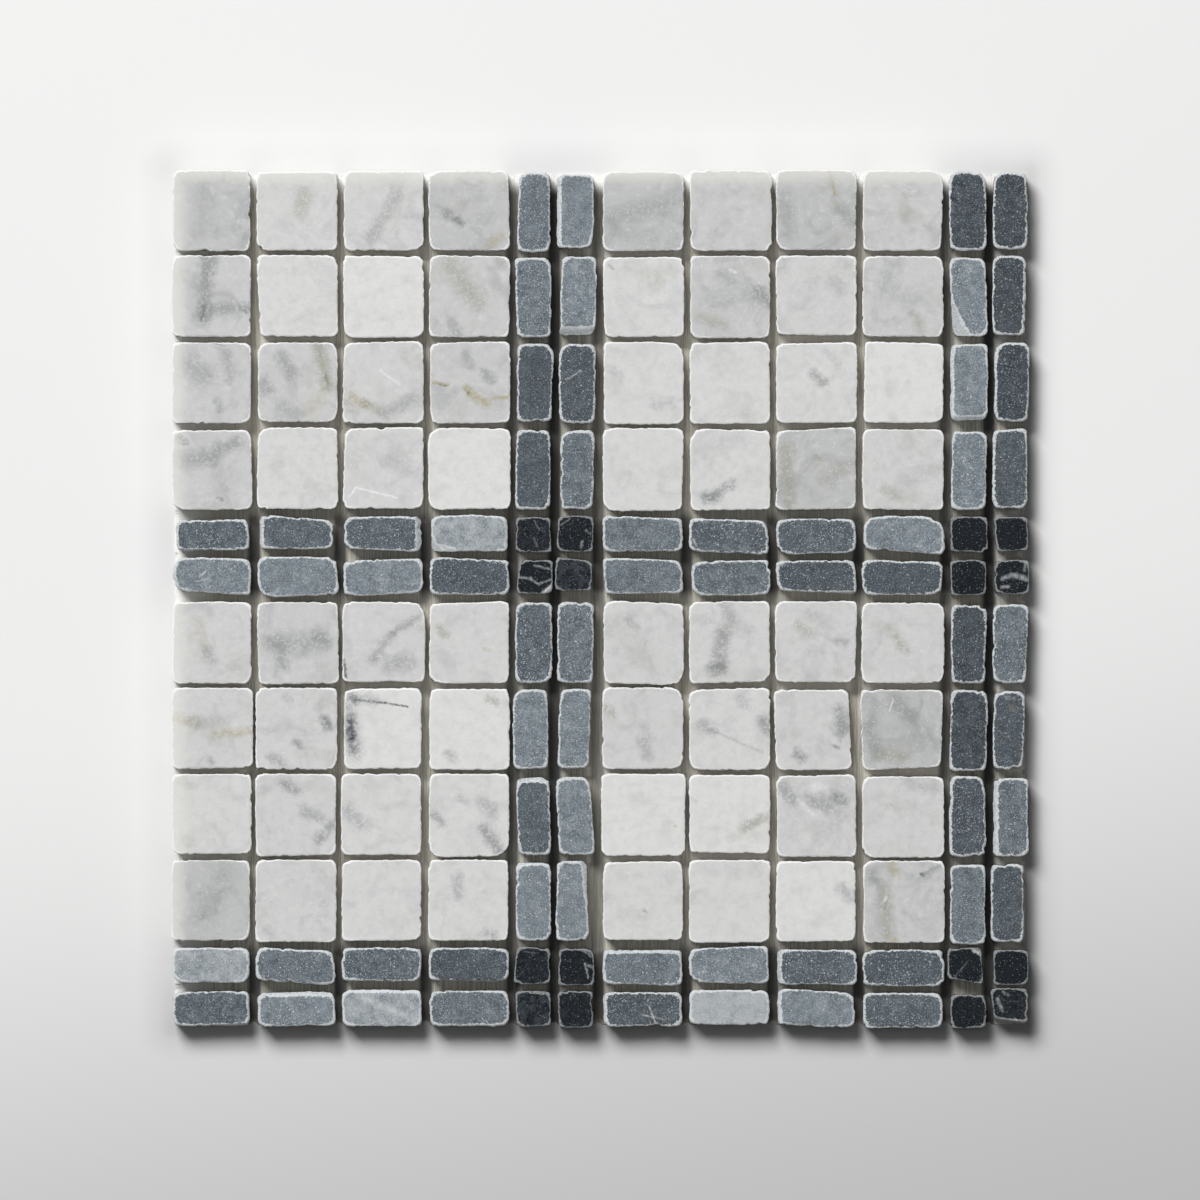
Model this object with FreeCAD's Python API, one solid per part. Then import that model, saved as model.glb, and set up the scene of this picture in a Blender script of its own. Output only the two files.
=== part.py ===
import FreeCAD, Part
import math
import os
import random

# A sheet of tumbled marble mosaic, laid as a plaid: groups of large white squares, bands of
# grey sticks between the groups, and small black squares where two bands cross. All the
# stones are bonded to one thin backing.
# Millimetres. X runs across the sheet, Y up it and Z out of its face. The origin is the
# middle of the sheet, on the underside of the backing, which the sheet lies on.

# Stones as sawn. Tumbling takes the squares down to about 28.6 and the strips to 12.6, which
# opens the joints between them to about 2.3.
square_side = 29.0
strip_width = 13.0
stone_thickness = 9.4

# How the stones are laid
joint = 1.9
least_joint = 0.6
squares_in_group = 4
strips_in_band = 2
repeats = 2

# What tumbling leaves of the white squares
white_inset = 0.1
white_stray = 0.2
white_turn = 0.3
white_corner_least = 1.7
white_corner_most = 3.2
white_arris = 0.5

# What it leaves of the grey sticks, which are softer and lose more
grey_inset = 0.2
grey_stray = 0.3
grey_turn = 0.6
grey_corner_least = 1.7
grey_corner_most = 3.3
grey_arris = 0.65

# What it leaves of the small black squares
black_inset = 0.2
black_stray = 0.3
black_turn = 1.0
black_corner_least = 0.9
black_corner_most = 1.8
black_arris = 0.35

# Spread of the stones' thickness, and the chords that a worn corner is made of
thickness_spread = 0.25
corner_chords = 3

# The backing: how far its cut edge lies inside the outer stones, and the hollows that its
# glue film draws back in at the end of each joint
backing_thickness = 0.6
backing_setback = 0.8
hollow_flare = 0.3
hollow_shallow = 0.5
hollow_deep = 1.5
hollow_chords = 4
pulled_hollow = 2.8

seed = 29

# The sheet is set by hand, so its lines of stones drift. Each pair is how far a line's two
# edges lie from where even joints would put them: columns to the right, rows downwards.
column_drift = [
    (-0.1, -0.8), (-0.9, -0.9), (-1.2, -1.4), (-1.3, -1.5), (-1.4, -1.4), (-1.2, -1.2),
    (-0.1, -0.1), (-0.2, -0.2), (-0.2, -0.3), (-0.3, -0.1), (0, 0.3), (0.4, 0),
]
row_drift = [
    (-0.1, -0.6), (-0.8, -0.8), (-0.8, -1.0), (-0.9, -1.0), (-0.4, -0.8), (-0.4, -0.6),
    (0.1, 0.2), (0.1, 0), (0, -0.1), (-0.4, -0.4), (-0.2, -0.2), (0.1, 0.1),
]

kinds = {
    "white_squares": {
        "inset": white_inset,
        "stray": white_stray,
        "turn": white_turn,
        "corner": (white_corner_least, white_corner_most),
        "arris": white_arris,
    },
    "grey_sticks": {
        "inset": grey_inset,
        "stray": grey_stray,
        "turn": grey_turn,
        "corner": (grey_corner_least, grey_corner_most),
        "arris": grey_arris,
    },
    "black_squares": {
        "inset": black_inset,
        "stray": black_stray,
        "turn": black_turn,
        "corner": (black_corner_least, black_corner_most),
        "arris": black_arris,
    },
}

# How single stones differ from an even one, by row from the top and column from the left.
# sides moves the left, right, lower and upper side. corners moves the lower left, lower right,
# upper right and upper left corner. wear sets single corners, counted in that order from 0.
# chips are worn flats: the way each one faces in degrees, its width on the stone's face and
# its drop at the stone's side. A stone that isn't listed strays and turns at random.
noted = {
    (1, 1): {"sides": (0.2, -0.3, -0.1, 0.3)},
    (1, 2): {"sides": (0, 0, 0, -0.3), "wear": {0: 3.8}},
    (1, 3): {"sides": (0.5, 0.3, 0, 0), "wear": {1: 4.5}},
    (1, 5): {"corners": ((0, -0.7), (-0.4, -0.7), (-0.3, -0.2), (1.5, -0.2))},
    (1, 6): {"corners": ((-0.4, 0.6), (-0.4, 0.6), (0.5, -0.9), (-0.4, -0.9)),
             "chips": [(180, 1.8, 1.2)]},
    (1, 8): {"sides": (0.3, 0.6, -0.1, 0.3), "wear": {0: 3.8}},
    (1, 9): {"corners": ((0.2, 0.2), (-0.4, 0.2), (0.2, 0.4), (0.2, 0.4)), "wear": {0: 4.0}},
    (1, 10): {"corners": ((0.2, 0), (-0.8, 0), (0, 0.2), (0.2, 0.2)), "wear": {2: 4.8}},
    (1, 11): {"sides": (-0.3, 0, 0, 0), "wear": {2: 4.6, 3: 4.0}},
    (1, 12): {"sides": (0.1, 0, 0.4, -0.2), "wear": {2: 3.4, 3: 3.4}},
    (2, 2): {"corners": ((1.3, 0), (0.3, 0), (-0.1, 0.3), (0.1, 0.3))},
    (2, 3): {"corners": ((0.5, -0.4), (0.4, -0.3), (0.3, -0.2), (0.2, 0.1)),
             "wear": {0: 3.4, 1: 3.4, 2: 3.4}},
    (2, 5): {"corners": ((0.5, -0.4), (0, -0.4), (0, -0.6), (-0.4, -0.6))},
    (2, 6): {"corners": ((0.6, 0.4), (0.7, 0.4), (1.2, -0.2), (1.3, -0.2)), "chips": [(270, 3.4, 2.2)]},
    (2, 7): {"corners": ((0.6, -0.2), (0.1, 0.1), (0.2, -0.5), (0, -0.5))},
    (2, 8): {"sides": (0.4, 0, -0.5, 0), "wear": {0: 3.8}},
    (2, 9): {"corners": ((0.4, 0.6), (0, 0.5), (0.1, 0.1), (-0.2, 0))},
    (2, 11): {"corners": ((1.1, 0), (0.5, 0), (-0.3, -0.4), (-0.3, -0.4)), "chips": [(207, 5.2, 3.6)]},
    (2, 12): {"corners": ((-0.4, 0.4), (-0.9, 0.4), (-0.2, 0.1), (0.1, 0.1))},
    (3, 2): {"sides": (0.5, 0, 0.3, 0), "wear": {1: 3.8, 2: 3.6, 3: 4.0}},
    (3, 3): {"corners": ((-0.2, -0.2), (0.4, -0.2), (0.2, 0.7), (0.5, -0.2))},
    (3, 4): {"corners": ((0.5, -0.2), (0.3, -0.1), (0.4, 0.5), (0.4, -0.2))},
    (3, 5): {"corners": ((0.3, 0.3), (0.2, 0.3), (0.9, -0.2), (0.6, -0.2)), "wear": {2: 4.0, 3: 3.6}},
    (3, 6): {"corners": ((0.4, -0.4), (0.5, -0.2), (0.9, -0.4), (0.3, -0.4)), "wear": {0: 3.8, 3: 4.2}},
    (3, 7): {"sides": (0.4, 0.1, -0.5, 0.2), "wear": {2: 6.2}},
    (3, 8): {"corners": ((0.3, -0.3), (0, -0.3), (0, 0.4), (0.2, -0.2))},
    (3, 9): {"corners": ((0.1, 0), (0.2, 0), (0.2, 0.2), (0.1, -0.5))},
    (3, 10): {"corners": ((0.4, 0), (-0.1, 0), (-0.1, -0.5), (0.8, 0.5)), "wear": {1: 3.8}},
    (3, 11): {"corners": ((0.2, 0.9), (0.3, 0.9), (0.6, -0.5), (0.1, -0.5)),
              "chips": [(180, 1.7, 1.4), (270, 2.0, 1.4)]},
    (3, 12): {"corners": ((0.3, 0.4), (0.3, 0.5), (0.9, 0), (0.7, 0)), "wear": {3: 4.2}},
    (4, 1): {"corners": ((0, 0), (0.9, 0), (0, -0.3), (0, -0.4)), "wear": {0: 4.4}},
    (4, 2): {"corners": ((0, 0.2), (0.4, 0.2), (-0.1, 0.5), (0.4, 0.5)), "wear": {3: 4.8}},
    (4, 3): {"corners": ((0.1, 0.4), (0.2, 0.4), (0.4, 0.9), (0.9, 0.1))},
    (4, 4): {"corners": ((-0.1, -0.1), (0.4, 0.3), (0.6, 0.1), (-0.5, 0.5)), "wear": {0: 3.8, 3: 5.6}},
    (4, 6): {"corners": ((0.8, 0), (-0.2, 0), (0.5, -0.4), (0.9, -0.4)), "wear": {3: 4.6}},
    (4, 7): {"corners": ((0.1, -0.5), (-0.5, -0.4), (-0.1, 0.4), (0.1, 0.3)), "wear": {0: 4.8}},
    (4, 8): {"corners": ((0.6, -0.5), (0.1, 0.1), (0.1, -0.3), (0.3, 0)), "wear": {3: 4.4}},
    (4, 9): {"corners": ((-0.1, -0.2), (-0.2, 0.5), (-0.2, 1.3), (0.2, -0.8))},
    (4, 11): {"corners": ((0.3, -0.3), (-0.4, -0.3), (0.5, -0.9), (0.9, -0.9))},
    (4, 12): {"corners": ((-0.2, 0.2), (0, 0.2), (0, 0.4), (0, -0.4))},
    (5, 1): {"corners": ((1.4, 0.2), (-0.4, 0.7), (-0.9, -0.8), (1.0, -0.9)), "chips": [(268, 0.9, 3.6)]},
    (5, 2): {"corners": ((0.9, 0.9), (-1.3, 0.9), (-1.4, -1.1), (0.9, 0.9)), "chips": [(180, 1.7, 1.2)]},
    (5, 3): {"corners": ((0.3, 1.0), (-0.4, 0), (-0.5, 0.4), (0.3, 0.3)), "wear": {3: 4.0},
             "chips": [(0, 2.4, 1.6)]},
    (5, 4): {"sides": (0.7, -0.5, 0.1, 0.7), "chips": [(225, 3.2, 2.0), (0, 1.2, 0.9)]},
    (5, 5): {"sides": (0, 0, -0.2, 0), "wear": {0: 0.9, 1: 0.9}},
    (5, 6): {"sides": (-0.3, -0.1, -0.1, 0.5), "wear": {0: 2.8}},
    (5, 7): {"corners": ((0, 0), (-0.1, 0), (-0.4, -0.5), (-0.3, 0.7))},
    (5, 8): {"corners": ((-0.3, 0.2), (-0.4, -1.4), (-0.9, -1.0), (0, -0.3)), "wear": {2: 3.8}},
    (5, 9): {"corners": ((0.2, -0.8), (0, -0.5), (-0.2, -0.4), (0.2, -0.5))},
    (5, 10): {"corners": ((0.2, 0.9), (0.7, -1.6), (0.2, 0.2), (0.1, 0.6)), "wear": {2: 7.0, 3: 6.5}},
    (5, 11): {"sides": (0.2, 0.4, 0, 0.1)},
    (5, 12): {"corners": ((1.3, 0.2), (0.3, 0.2), (0.4, 0.1), (0.1, 0.1))},
    (6, 1): {"corners": ((0.2, 1.4), (0.1, -0.6), (-0.1, 0.3), (0.2, 0.7)), "wear": {0: 4.4, 3: 5.0}},
    (6, 2): {"corners": ((0.2, -1.4), (0.6, 0), (-0.4, 0.8), (0.2, 0.8)), "wear": {0: 6.0}},
    (6, 3): {"corners": ((0.2, -0.5), (0.2, 0.2), (0, 0.4), (0.2, -0.6))},
    (6, 4): {"corners": ((0.1, -0.1), (0, -0.3), (0.2, -0.4), (0.1, 0.8))},
    (6, 5): {"corners": ((0, 0.1), (0.5, 0), (0.6, -0.4), (1.5, -0.2))},
    (6, 6): {"corners": ((-0.8, 1.2), (-0.6, 1.1), (-0.4, -0.3), (-0.8, 0.7)), "wear": {0: 0.9, 3: 0.9}},
    (6, 7): {"corners": ((0.4, 0.1), (0.2, 0.3), (-0.3, -0.4), (-0.3, 0.5))},
    (6, 8): {"corners": ((1.6, -0.5), (0.2, -0.4), (0.1, -0.2), (-0.1, -1.0)), "wear": {3: 4.2}},
    (6, 9): {"corners": ((0.5, 1.2), (0.4, 0), (-0.7, -0.4), (-0.3, -0.4)), "chips": [(272, 0.9, 3.6)]},
    (6, 10): {"corners": ((0.2, -0.6), (-0.4, 0), (-0.2, -0.9), (-0.3, -0.3)), "wear": {0: 3.8}},
    (6, 11): {"sides": (0.1, -0.1, -0.4, -0.4)},
    (6, 12): {"sides": (0.7, 0.6, 0, -0.4)},
    (7, 2): {"corners": ((0.6, -0.4), (0.6, -0.1), (0.1, 0.1), (0.2, 0))},
    (7, 3): {"corners": ((0, 0.6), (0.8, 0.5), (1.8, 0.1), (0, 0.1)), "wear": {2: 5.6}},
    (7, 4): {"corners": ((0, 0), (-0.1, 0), (-0.1, 0.5), (0.3, -0.6)), "wear": {0: 4.4}},
    (7, 5): {"sides": (-0.1, 0.4, 0, 0), "wear": {1: 4.6}},
    (7, 7): {"corners": ((0.5, 0), (0.2, -1.2), (0.1, -0.7), (0.2, 0.9)), "wear": {1: 5.5, 3: 4.2}},
    (7, 8): {"corners": ((0, -0.2), (0, 0.7), (0, 0.3), (0, 0.2)), "wear": {1: 3.8}},
    (7, 9): {"corners": ((-0.2, 0.5), (-0.5, 0.3), (0.4, 0.4), (-0.2, 0.2))},
    (7, 10): {"sides": (-0.3, 0.2, 0, -0.2), "wear": {0: 3.8, 1: 4.2}},
    (7, 11): {"corners": ((0.4, -0.2), (-0.5, -0.2), (0.2, -0.8), (0.4, -0.8))},
    (7, 12): {"corners": ((0, 0), (-0.7, 0), (0.7, -0.6), (0.1, -0.6))},
    (8, 1): {"corners": ((0, 0.1), (0.9, 0.6), (0.8, 0.4), (0, 0.4))},
    (8, 2): {"sides": (-0.3, -0.1, 0, 0.4), "wear": {1: 3.6}},
    (8, 3): {"corners": ((0.5, 0.1), (-0.5, 0.4), (-0.4, 0.4), (0.7, 0))},
    (8, 5): {"corners": ((-1.3, 0.2), (-1.0, 0.3), (-1.3, -0.1), (-0.9, -0.1)), "wear": {3: 3.8}},
    (8, 6): {"corners": ((-0.3, 0.2), (-1.7, 0.2), (-0.5, 0.2), (0.7, 0))},
    (8, 7): {"sides": (-0.1, -0.2, 0.2, 0.5), "wear": {1: 4.2, 2: 4.6}},
    (8, 8): {"corners": ((0, -0.2), (0, -0.2), (0, 0.4), (0, -0.3)), "wear": {0: 4.4, 1: 4.2}},
    (8, 9): {"corners": ((0, -0.2), (-1.6, -0.2), (-3.0, -0.3), (-1.6, -0.3))},
    (8, 10): {"corners": ((0, -0.4), (-1.1, 0.9), (-0.2, -0.3), (-0.8, -0.3))},
    (8, 11): {"corners": ((-0.3, -0.6), (0, -0.6), (0.5, -0.3), (0.3, -0.3))},
    (8, 12): {"corners": ((-0.2, -0.2), (-1.6, -0.2), (-0.8, -0.7), (0.3, -0.7))},
    (9, 1): {"sides": (0, 0.2, 0.7, 0.5)},
    (9, 2): {"corners": ((-0.3, -0.3), (-0.6, 0.4), (-0.4, 0.5), (-0.5, 0.5))},
    (9, 3): {"sides": (-0.5, -0.6, 0.4, 0.6)},
    (9, 4): {"corners": ((0, -0.6), (0, 0), (0, 0.5), (0.1, 0.5)), "wear": {0: 5.0, 1: 6.0}},
    (9, 5): {"corners": ((0.8, 0), (0, 0.2), (-0.6, -0.8), (0.2, -0.8)), "chips": [(90, 1.8, 1.2)]},
    (9, 6): {"corners": ((0.3, 0.2), (0.6, 0.2), (-1.3, -0.6), (-0.8, -0.6)), "wear": {2: 3.6, 3: 3.6}},
    (9, 7): {"corners": ((-0.4, 0), (0.4, 0.1), (0.9, 0.6), (-0.5, 0.5))},
    (9, 8): {"corners": ((0.2, 1.4), (0, 0.8), (0, 0.2), (-0.2, 0.1)), "wear": {0: 1.2}},
    (9, 9): {"corners": ((0.4, -0.3), (0, -0.3), (-0.3, 0.3), (0.3, -0.3))},
    (9, 10): {"sides": (0, 0.1, -0.8, -0.5), "wear": {0: 4.6}},
    (9, 11): {"corners": ((-0.4, -0.3), (0.1, -0.3), (-0.8, -0.2), (0.1, -0.2))},
    (9, 12): {"sides": (0.2, 0.3, -0.3, -0.9), "chips": [(180, 1.6, 1.2)]},
    (10, 1): {"corners": ((-0.3, 0.5), (-0.6, 0.5), (-0.4, 0.2), (-0.1, 0.3))},
    (10, 2): {"sides": (-0.3, -0.4, 0, 0.4)},
    (10, 3): {"sides": (-0.2, -0.6, 0.4, 0.4)},
    (10, 4): {"sides": (-0.3, -0.4, 0.4, 0.4)},
    (10, 5): {"sides": (0.1, 0, 0.4, -0.4), "wear": {1: 3.8}, "chips": [(100, 1.7, 1.2)]},
    (10, 6): {"corners": ((-0.9, -0.1), (-1.5, 0.5), (-2.6, 0), (-0.3, 0)), "chips": [(8, 2.2, 1.6)]},
    (10, 7): {"corners": ((0.1, 0.6), (-0.2, 0.7), (-0.3, 0), (0.3, -0.4))},
    (10, 8): {"corners": ((0, -0.4), (-0.2, -0.1), (0.1, 0.3), (-0.1, 0.3))},
    (10, 9): {"sides": (0.1, -0.4, 0.1, 0)},
    (10, 10): {"sides": (0.4, 0.4, -0.4, 0.1), "wear": {0: 1.7, 2: 2.6}},
    (10, 11): {"sides": (0, -0.4, -1.0, -1.2)},
    (10, 12): {"corners": ((-0.8, -0.4), (-1.1, -0.5), (-1.5, -1.0), (-1.0, -1.1))},
    (11, 1): {"sides": (0, -0.5, 0.4, 0.2), "wear": {0: 3.8, 1: 3.8}},
    (11, 2): {"corners": ((-0.4, 1.4), (-0.3, -0.7), (-1.5, -0.8), (-0.2, 0.4))},
    (11, 3): {"sides": (-0.4, -0.4, 0.9, 0.3)},
    (11, 4): {"corners": ((-0.1, 1.1), (0, 0.8), (0, 0), (-0.1, 0.4)), "chips": [(270, 0.9, 3.6)]},
    (11, 5): {"corners": ((-0.6, 0), (-0.3, 0), (-0.4, 0.2), (0.4, 0.5))},
    (11, 6): {"sides": (0.2, 0.3, -0.3, 0), "wear": {2: 2.6}},
    (11, 7): {"corners": ((0, 0.1), (-0.1, -0.7), (-0.6, -0.6), (-0.2, -0.4)), "chips": [(92, 1.4, 1.0)]},
    (11, 8): {"corners": ((0, 0.6), (-0.4, 0.1), (-0.4, 1.0), (-0.2, -0.2))},
    (11, 9): {"sides": (0.4, 0.3, -0.2, -0.5), "chips": [(180, 1.4, 1.0)]},
    (11, 10): {"corners": ((0.3, -0.5), (0.4, -0.9), (0, -0.7), (-0.1, -0.4))},
    (11, 11): {"corners": ((-0.8, 1.8), (-1.4, -0.1), (-2.0, 0.3), (-1.7, 0)), "chips": [(45, 1.6, 1.2)]},
    (11, 12): {"sides": (0, 0.2, -0.5, -0.5)},
    (12, 1): {"corners": ((0.2, 0.2), (-0.2, 0.2), (-0.4, 0.2), (-0.1, -0.6)), "chips": [(272, 0.9, 3.6)]},
    (12, 2): {"corners": ((0.4, -0.1), (-0.6, 0.3), (-1.0, -0.1), (0.4, -0.5)), "chips": [(90, 1.5, 1.1)]},
    (12, 3): {"sides": (-0.1, -0.5, 0, 0.4), "chips": [(90, 1.3, 1.0)]},
    (12, 5): {"corners": ((0.6, 0.1), (0, 0.3), (-0.3, -0.3), (-0.2, 0.1))},
    (12, 6): {"sides": (0.1, -0.1, -0.2, 0.1)},
    (12, 7): {"sides": (0.2, -0.5, 0.1, -0.4), "chips": [(180, 1.5, 1.1)]},
    (12, 8): {"sides": (0.1, -0.1, 0.7, 0.3)},
    (12, 9): {"corners": ((0.4, 0.5), (-0.2, -0.4), (-0.5, -0.8), (0.6, 1.0)), "chips": [(180, 1.8, 1.2)]},
    (12, 10): {"sides": (0.2, -0.4, -0.4, -0.6)},
    (12, 11): {"corners": ((0.2, -0.6), (0, -0.6), (-0.3, -1.3), (0.3, -1.2))},
    (12, 12): {"corners": ((0.6, 1.6), (0.3, 1.6), (0.2, 1.3), (-0.8, 1.3)), "chips": [(262, 1.6, 2.0)]},
}

# Ends of joints where the film has pulled well back: side of the sheet, and which joint
# along it, walking round the sheet with its middle on the left hand
pulled_back = {("left", 10), ("left", 11)}

# Share of a side that the two worn corners at its ends may take up
worn_share = 0.9
# Share of its smallest worn corner that a stone's arris may reach
arris_share = 0.5
# Edges this near to a stone's top are edges of its face
level_tolerance = 1e-6
# Steps that keep each stone's random draws apart
row_step = 100
sheet_step = 10000


def laid_length():
    """The sheet's side, from the first sawn stone to the last."""
    stones = (squares_in_group * square_side + strips_in_band * strip_width) * repeats
    stones_in_row = (squares_in_group + strips_in_band) * repeats
    return stones + joint * (stones_in_row - 1)


def cells_along_side(drift):
    """The stones along one side: name of the run, start and end from the middle, and the
    furthest that either may stray without closing a joint."""
    group = [("square", square_side)] * squares_in_group
    band = [("strip", strip_width)] * strips_in_band
    runs = (group + band) * repeats
    length = laid_length()
    place = -length / 2
    edges = []
    for (name, width), (start_drift, end_drift) in zip(runs, drift):
        edges.append((name, place + start_drift, place + width + end_drift))
        place += width + joint
    middles = [(before[2] + after[1]) / 2 for before, after in zip(edges, edges[1:])]
    limits = [-length / 2 - joint / 2] + middles + [length / 2 + joint / 2]
    return [
        (name, start, end, low + least_joint / 2, high - least_joint / 2)
        for (name, start, end), low, high in zip(edges, limits, limits[1:])
    ]


def held(value, low, high):
    return max(low, min(high, value))


def corner_moves(note):
    """The moves of a noted stone's four corners, lower left first and anticlockwise."""
    left, right, lower, upper = note.get("sides", (0, 0, 0, 0))
    by_side = [(left, lower), (right, lower), (right, upper), (left, upper)]
    return note.get("corners", by_side)


def fitted_wear(corners, wear):
    """The wear of the corners, less where it would use up the side between two of them."""
    fitted = list(wear)
    for i, size in enumerate(wear):
        for j in (i - 1, (i + 1) % len(corners)):
            room = (corners[j] - corners[i]).Length * worn_share
            fitted[i] = min(fitted[i], size * room / (size + wear[j]))
    return fitted


def stone_corners(across, up, kind, draw, note):
    """The four corners of one stone, lower left first and anticlockwise, and their wear."""
    x_start, x_end, x_least, x_most = across
    y_start, y_end, y_least, y_most = up
    middle = FreeCAD.Vector((x_start + x_end) / 2, (y_start + y_end) / 2, 0)
    turn = draw.uniform(-kind["turn"], kind["turn"])
    strays = [
        (draw.uniform(-kind["stray"], kind["stray"]), draw.uniform(-kind["stray"], kind["stray"]))
        for corner in range(4)
    ]
    wear = [draw.uniform(*kind["corner"]) for corner in range(4)]
    if note:
        strays = corner_moves(note)
        turn = 0
    for which, size in note.get("wear", {}).items():
        wear[which] = size

    inset = kind["inset"]
    sawn = [
        (x_start + inset, y_start + inset),
        (x_end - inset, y_start + inset),
        (x_end - inset, y_end - inset),
        (x_start + inset, y_end - inset),
    ]
    turning = FreeCAD.Rotation(FreeCAD.Vector(0, 0, 1), turn)
    corners = []
    for (x, y), (x_stray, y_stray) in zip(sawn, strays):
        placed = middle + turning.multVec(FreeCAD.Vector(x + x_stray, y + y_stray, 0) - middle)
        x_held = held(placed.x, x_least, x_most)
        y_held = held(placed.y, y_least, y_most)
        corners.append(FreeCAD.Vector(x_held, y_held, 0))
    return corners, fitted_wear(corners, wear)


def worn_outline(corners, wear):
    """The outline with each corner worn to a smooth curve between its two sides."""
    points = []
    for i, corner in enumerate(corners):
        towards_last = corners[i - 1] - corner
        towards_next = corners[(i + 1) % len(corners)] - corner
        start = corner + towards_last.normalize() * wear[i]
        end = corner + towards_next.normalize() * wear[i]
        for step in range(corner_chords + 1):
            t = step / corner_chords
            points.append(start * (1 - t) ** 2 + corner * (2 * t * (1 - t)) + end * t ** 2)
    return points


def prism(points, bottom, height):
    lifted = [FreeCAD.Vector(point.x, point.y, bottom) for point in points]
    face = Part.Face(Part.makePolygon(lifted + lifted[:1]))
    return face.extrude(FreeCAD.Vector(0, 0, height))


def chip(stone, points, top, facing, width, drop):
    """Take a flat off the stone's top edge, on the side that looks along facing degrees."""
    outward = FreeCAD.Vector(math.cos(math.radians(facing)), math.sin(math.radians(facing)), 0)
    furthest = max(points, key=lambda point: point.dot(outward))
    hinge = furthest - outward * width
    hinge.z = top
    normal = outward * drop + FreeCAD.Vector(0, 0, width)
    # What is cut away is larger than any stone
    side = 2 * (square_side + strip_width)
    block = Part.makeBox(side, side, side, FreeCAD.Vector(-side / 2, -side / 2, 0))
    block.Placement = FreeCAD.Placement(hinge, FreeCAD.Rotation(FreeCAD.Vector(0, 0, 1), normal))
    return stone.cut(block)


def tumbled_stone(across, up, kind, place):
    """One stone: sawn prism, worn corners, worn top arris and the chips it is noted for."""
    row, column = place
    draw = random.Random(seed * sheet_step + row * row_step + column)
    note = noted.get(place, {})
    corners, wear = stone_corners(across, up, kind, draw, note)
    points = worn_outline(corners, wear)
    height = stone_thickness + draw.uniform(-thickness_spread, thickness_spread)
    top = backing_thickness + height
    stone = prism(points, backing_thickness, height)
    arris = min(kind["arris"], arris_share * min(wear))
    top_edges = [
        edge
        for edge in stone.Edges
        if all(abs(vertex.Z - top) < level_tolerance for vertex in edge.Vertexes)
    ]
    stone = stone.makeChamfer(arris, top_edges)
    for facing, width, drop in note.get("chips", []):
        stone = chip(stone, points, top, facing, width, drop)
    return stone.Solids[0]


def joint_middles(cells):
    return [(before[2] + after[1]) / 2 for before, after in zip(cells, cells[1:])]


def from_far_end(middles):
    return [-middle for middle in reversed(middles)]


def backing(columns, rows):
    """The thin backing, cut square, with a hollow in its edge at the end of each joint."""
    draw = random.Random(seed)
    edge = laid_length() / 2 - backing_setback
    half_width = joint / 2 + hollow_flare
    across = joint_middles(columns)
    down = joint_middles(rows)
    # Each side: its name, its joints in the order that they are passed, and its direction
    sides = [
        ("bottom", across, 0),
        ("right", from_far_end(down), 90),
        ("top", from_far_end(across), 180),
        ("left", down, 270),
    ]
    points = []
    for name, middles, angle in sides:
        turning = FreeCAD.Rotation(FreeCAD.Vector(0, 0, 1), angle)
        points.append(turning.multVec(FreeCAD.Vector(-edge, -edge, 0)))
        for count, middle in enumerate(middles, start=1):
            depth = draw.uniform(hollow_shallow, hollow_deep)
            if (name, count) in pulled_back:
                depth = pulled_hollow
            for step in range(hollow_chords + 1):
                swing = math.pi * step / hollow_chords
                along = middle - half_width * math.cos(swing)
                inward = -edge + depth * math.sin(swing)
                points.append(turning.multVec(FreeCAD.Vector(along, inward, 0)))
    return prism(points, 0, backing_thickness)


def node_of(row_run, column_run, row, half):
    """The kind of stone at a crossing of two runs, and the node that it belongs to."""
    if row_run == "square" and column_run == "square":
        return "white_squares", f"white_squares_row_{row:02d}_{half}"
    if row_run == "square":
        return "grey_sticks", f"upright_sticks_row_{row:02d}_{half}"
    if column_run == "square":
        return "grey_sticks", f"level_sticks_row_{row:02d}_{half}"
    return "black_squares", f"black_squares_row_{row:02d}_{half}"


def lay_sheet():
    columns = cells_along_side(column_drift)
    rows = cells_along_side(row_drift)
    nodes = {"mesh_backing": [backing(columns, rows)]}
    for row, (row_run, *down) in enumerate(rows, start=1):
        # Rows are counted downwards, so what starts a row is its upper side
        row_start, row_end, row_least, row_most = down
        up = (-row_end, -row_start, -row_most, -row_least)
        for column, (column_run, *across) in enumerate(columns, start=1):
            half = "left" if column <= len(columns) // repeats else "right"
            kind, node = node_of(row_run, column_run, row, half)
            stone = tumbled_stone(across, up, kinds[kind], (row, column))
            nodes.setdefault(node, []).append(stone)
    return nodes


os.makedirs("parts", exist_ok=True)
for node, solids in lay_sheet().items():
    shape = solids[0] if len(solids) == 1 else Part.makeCompound(solids)
    shape.exportStep(f"parts/{node}.step")
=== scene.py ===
import math
import random

import bmesh
import bpy
import numpy as np
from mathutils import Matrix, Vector, noise


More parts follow.
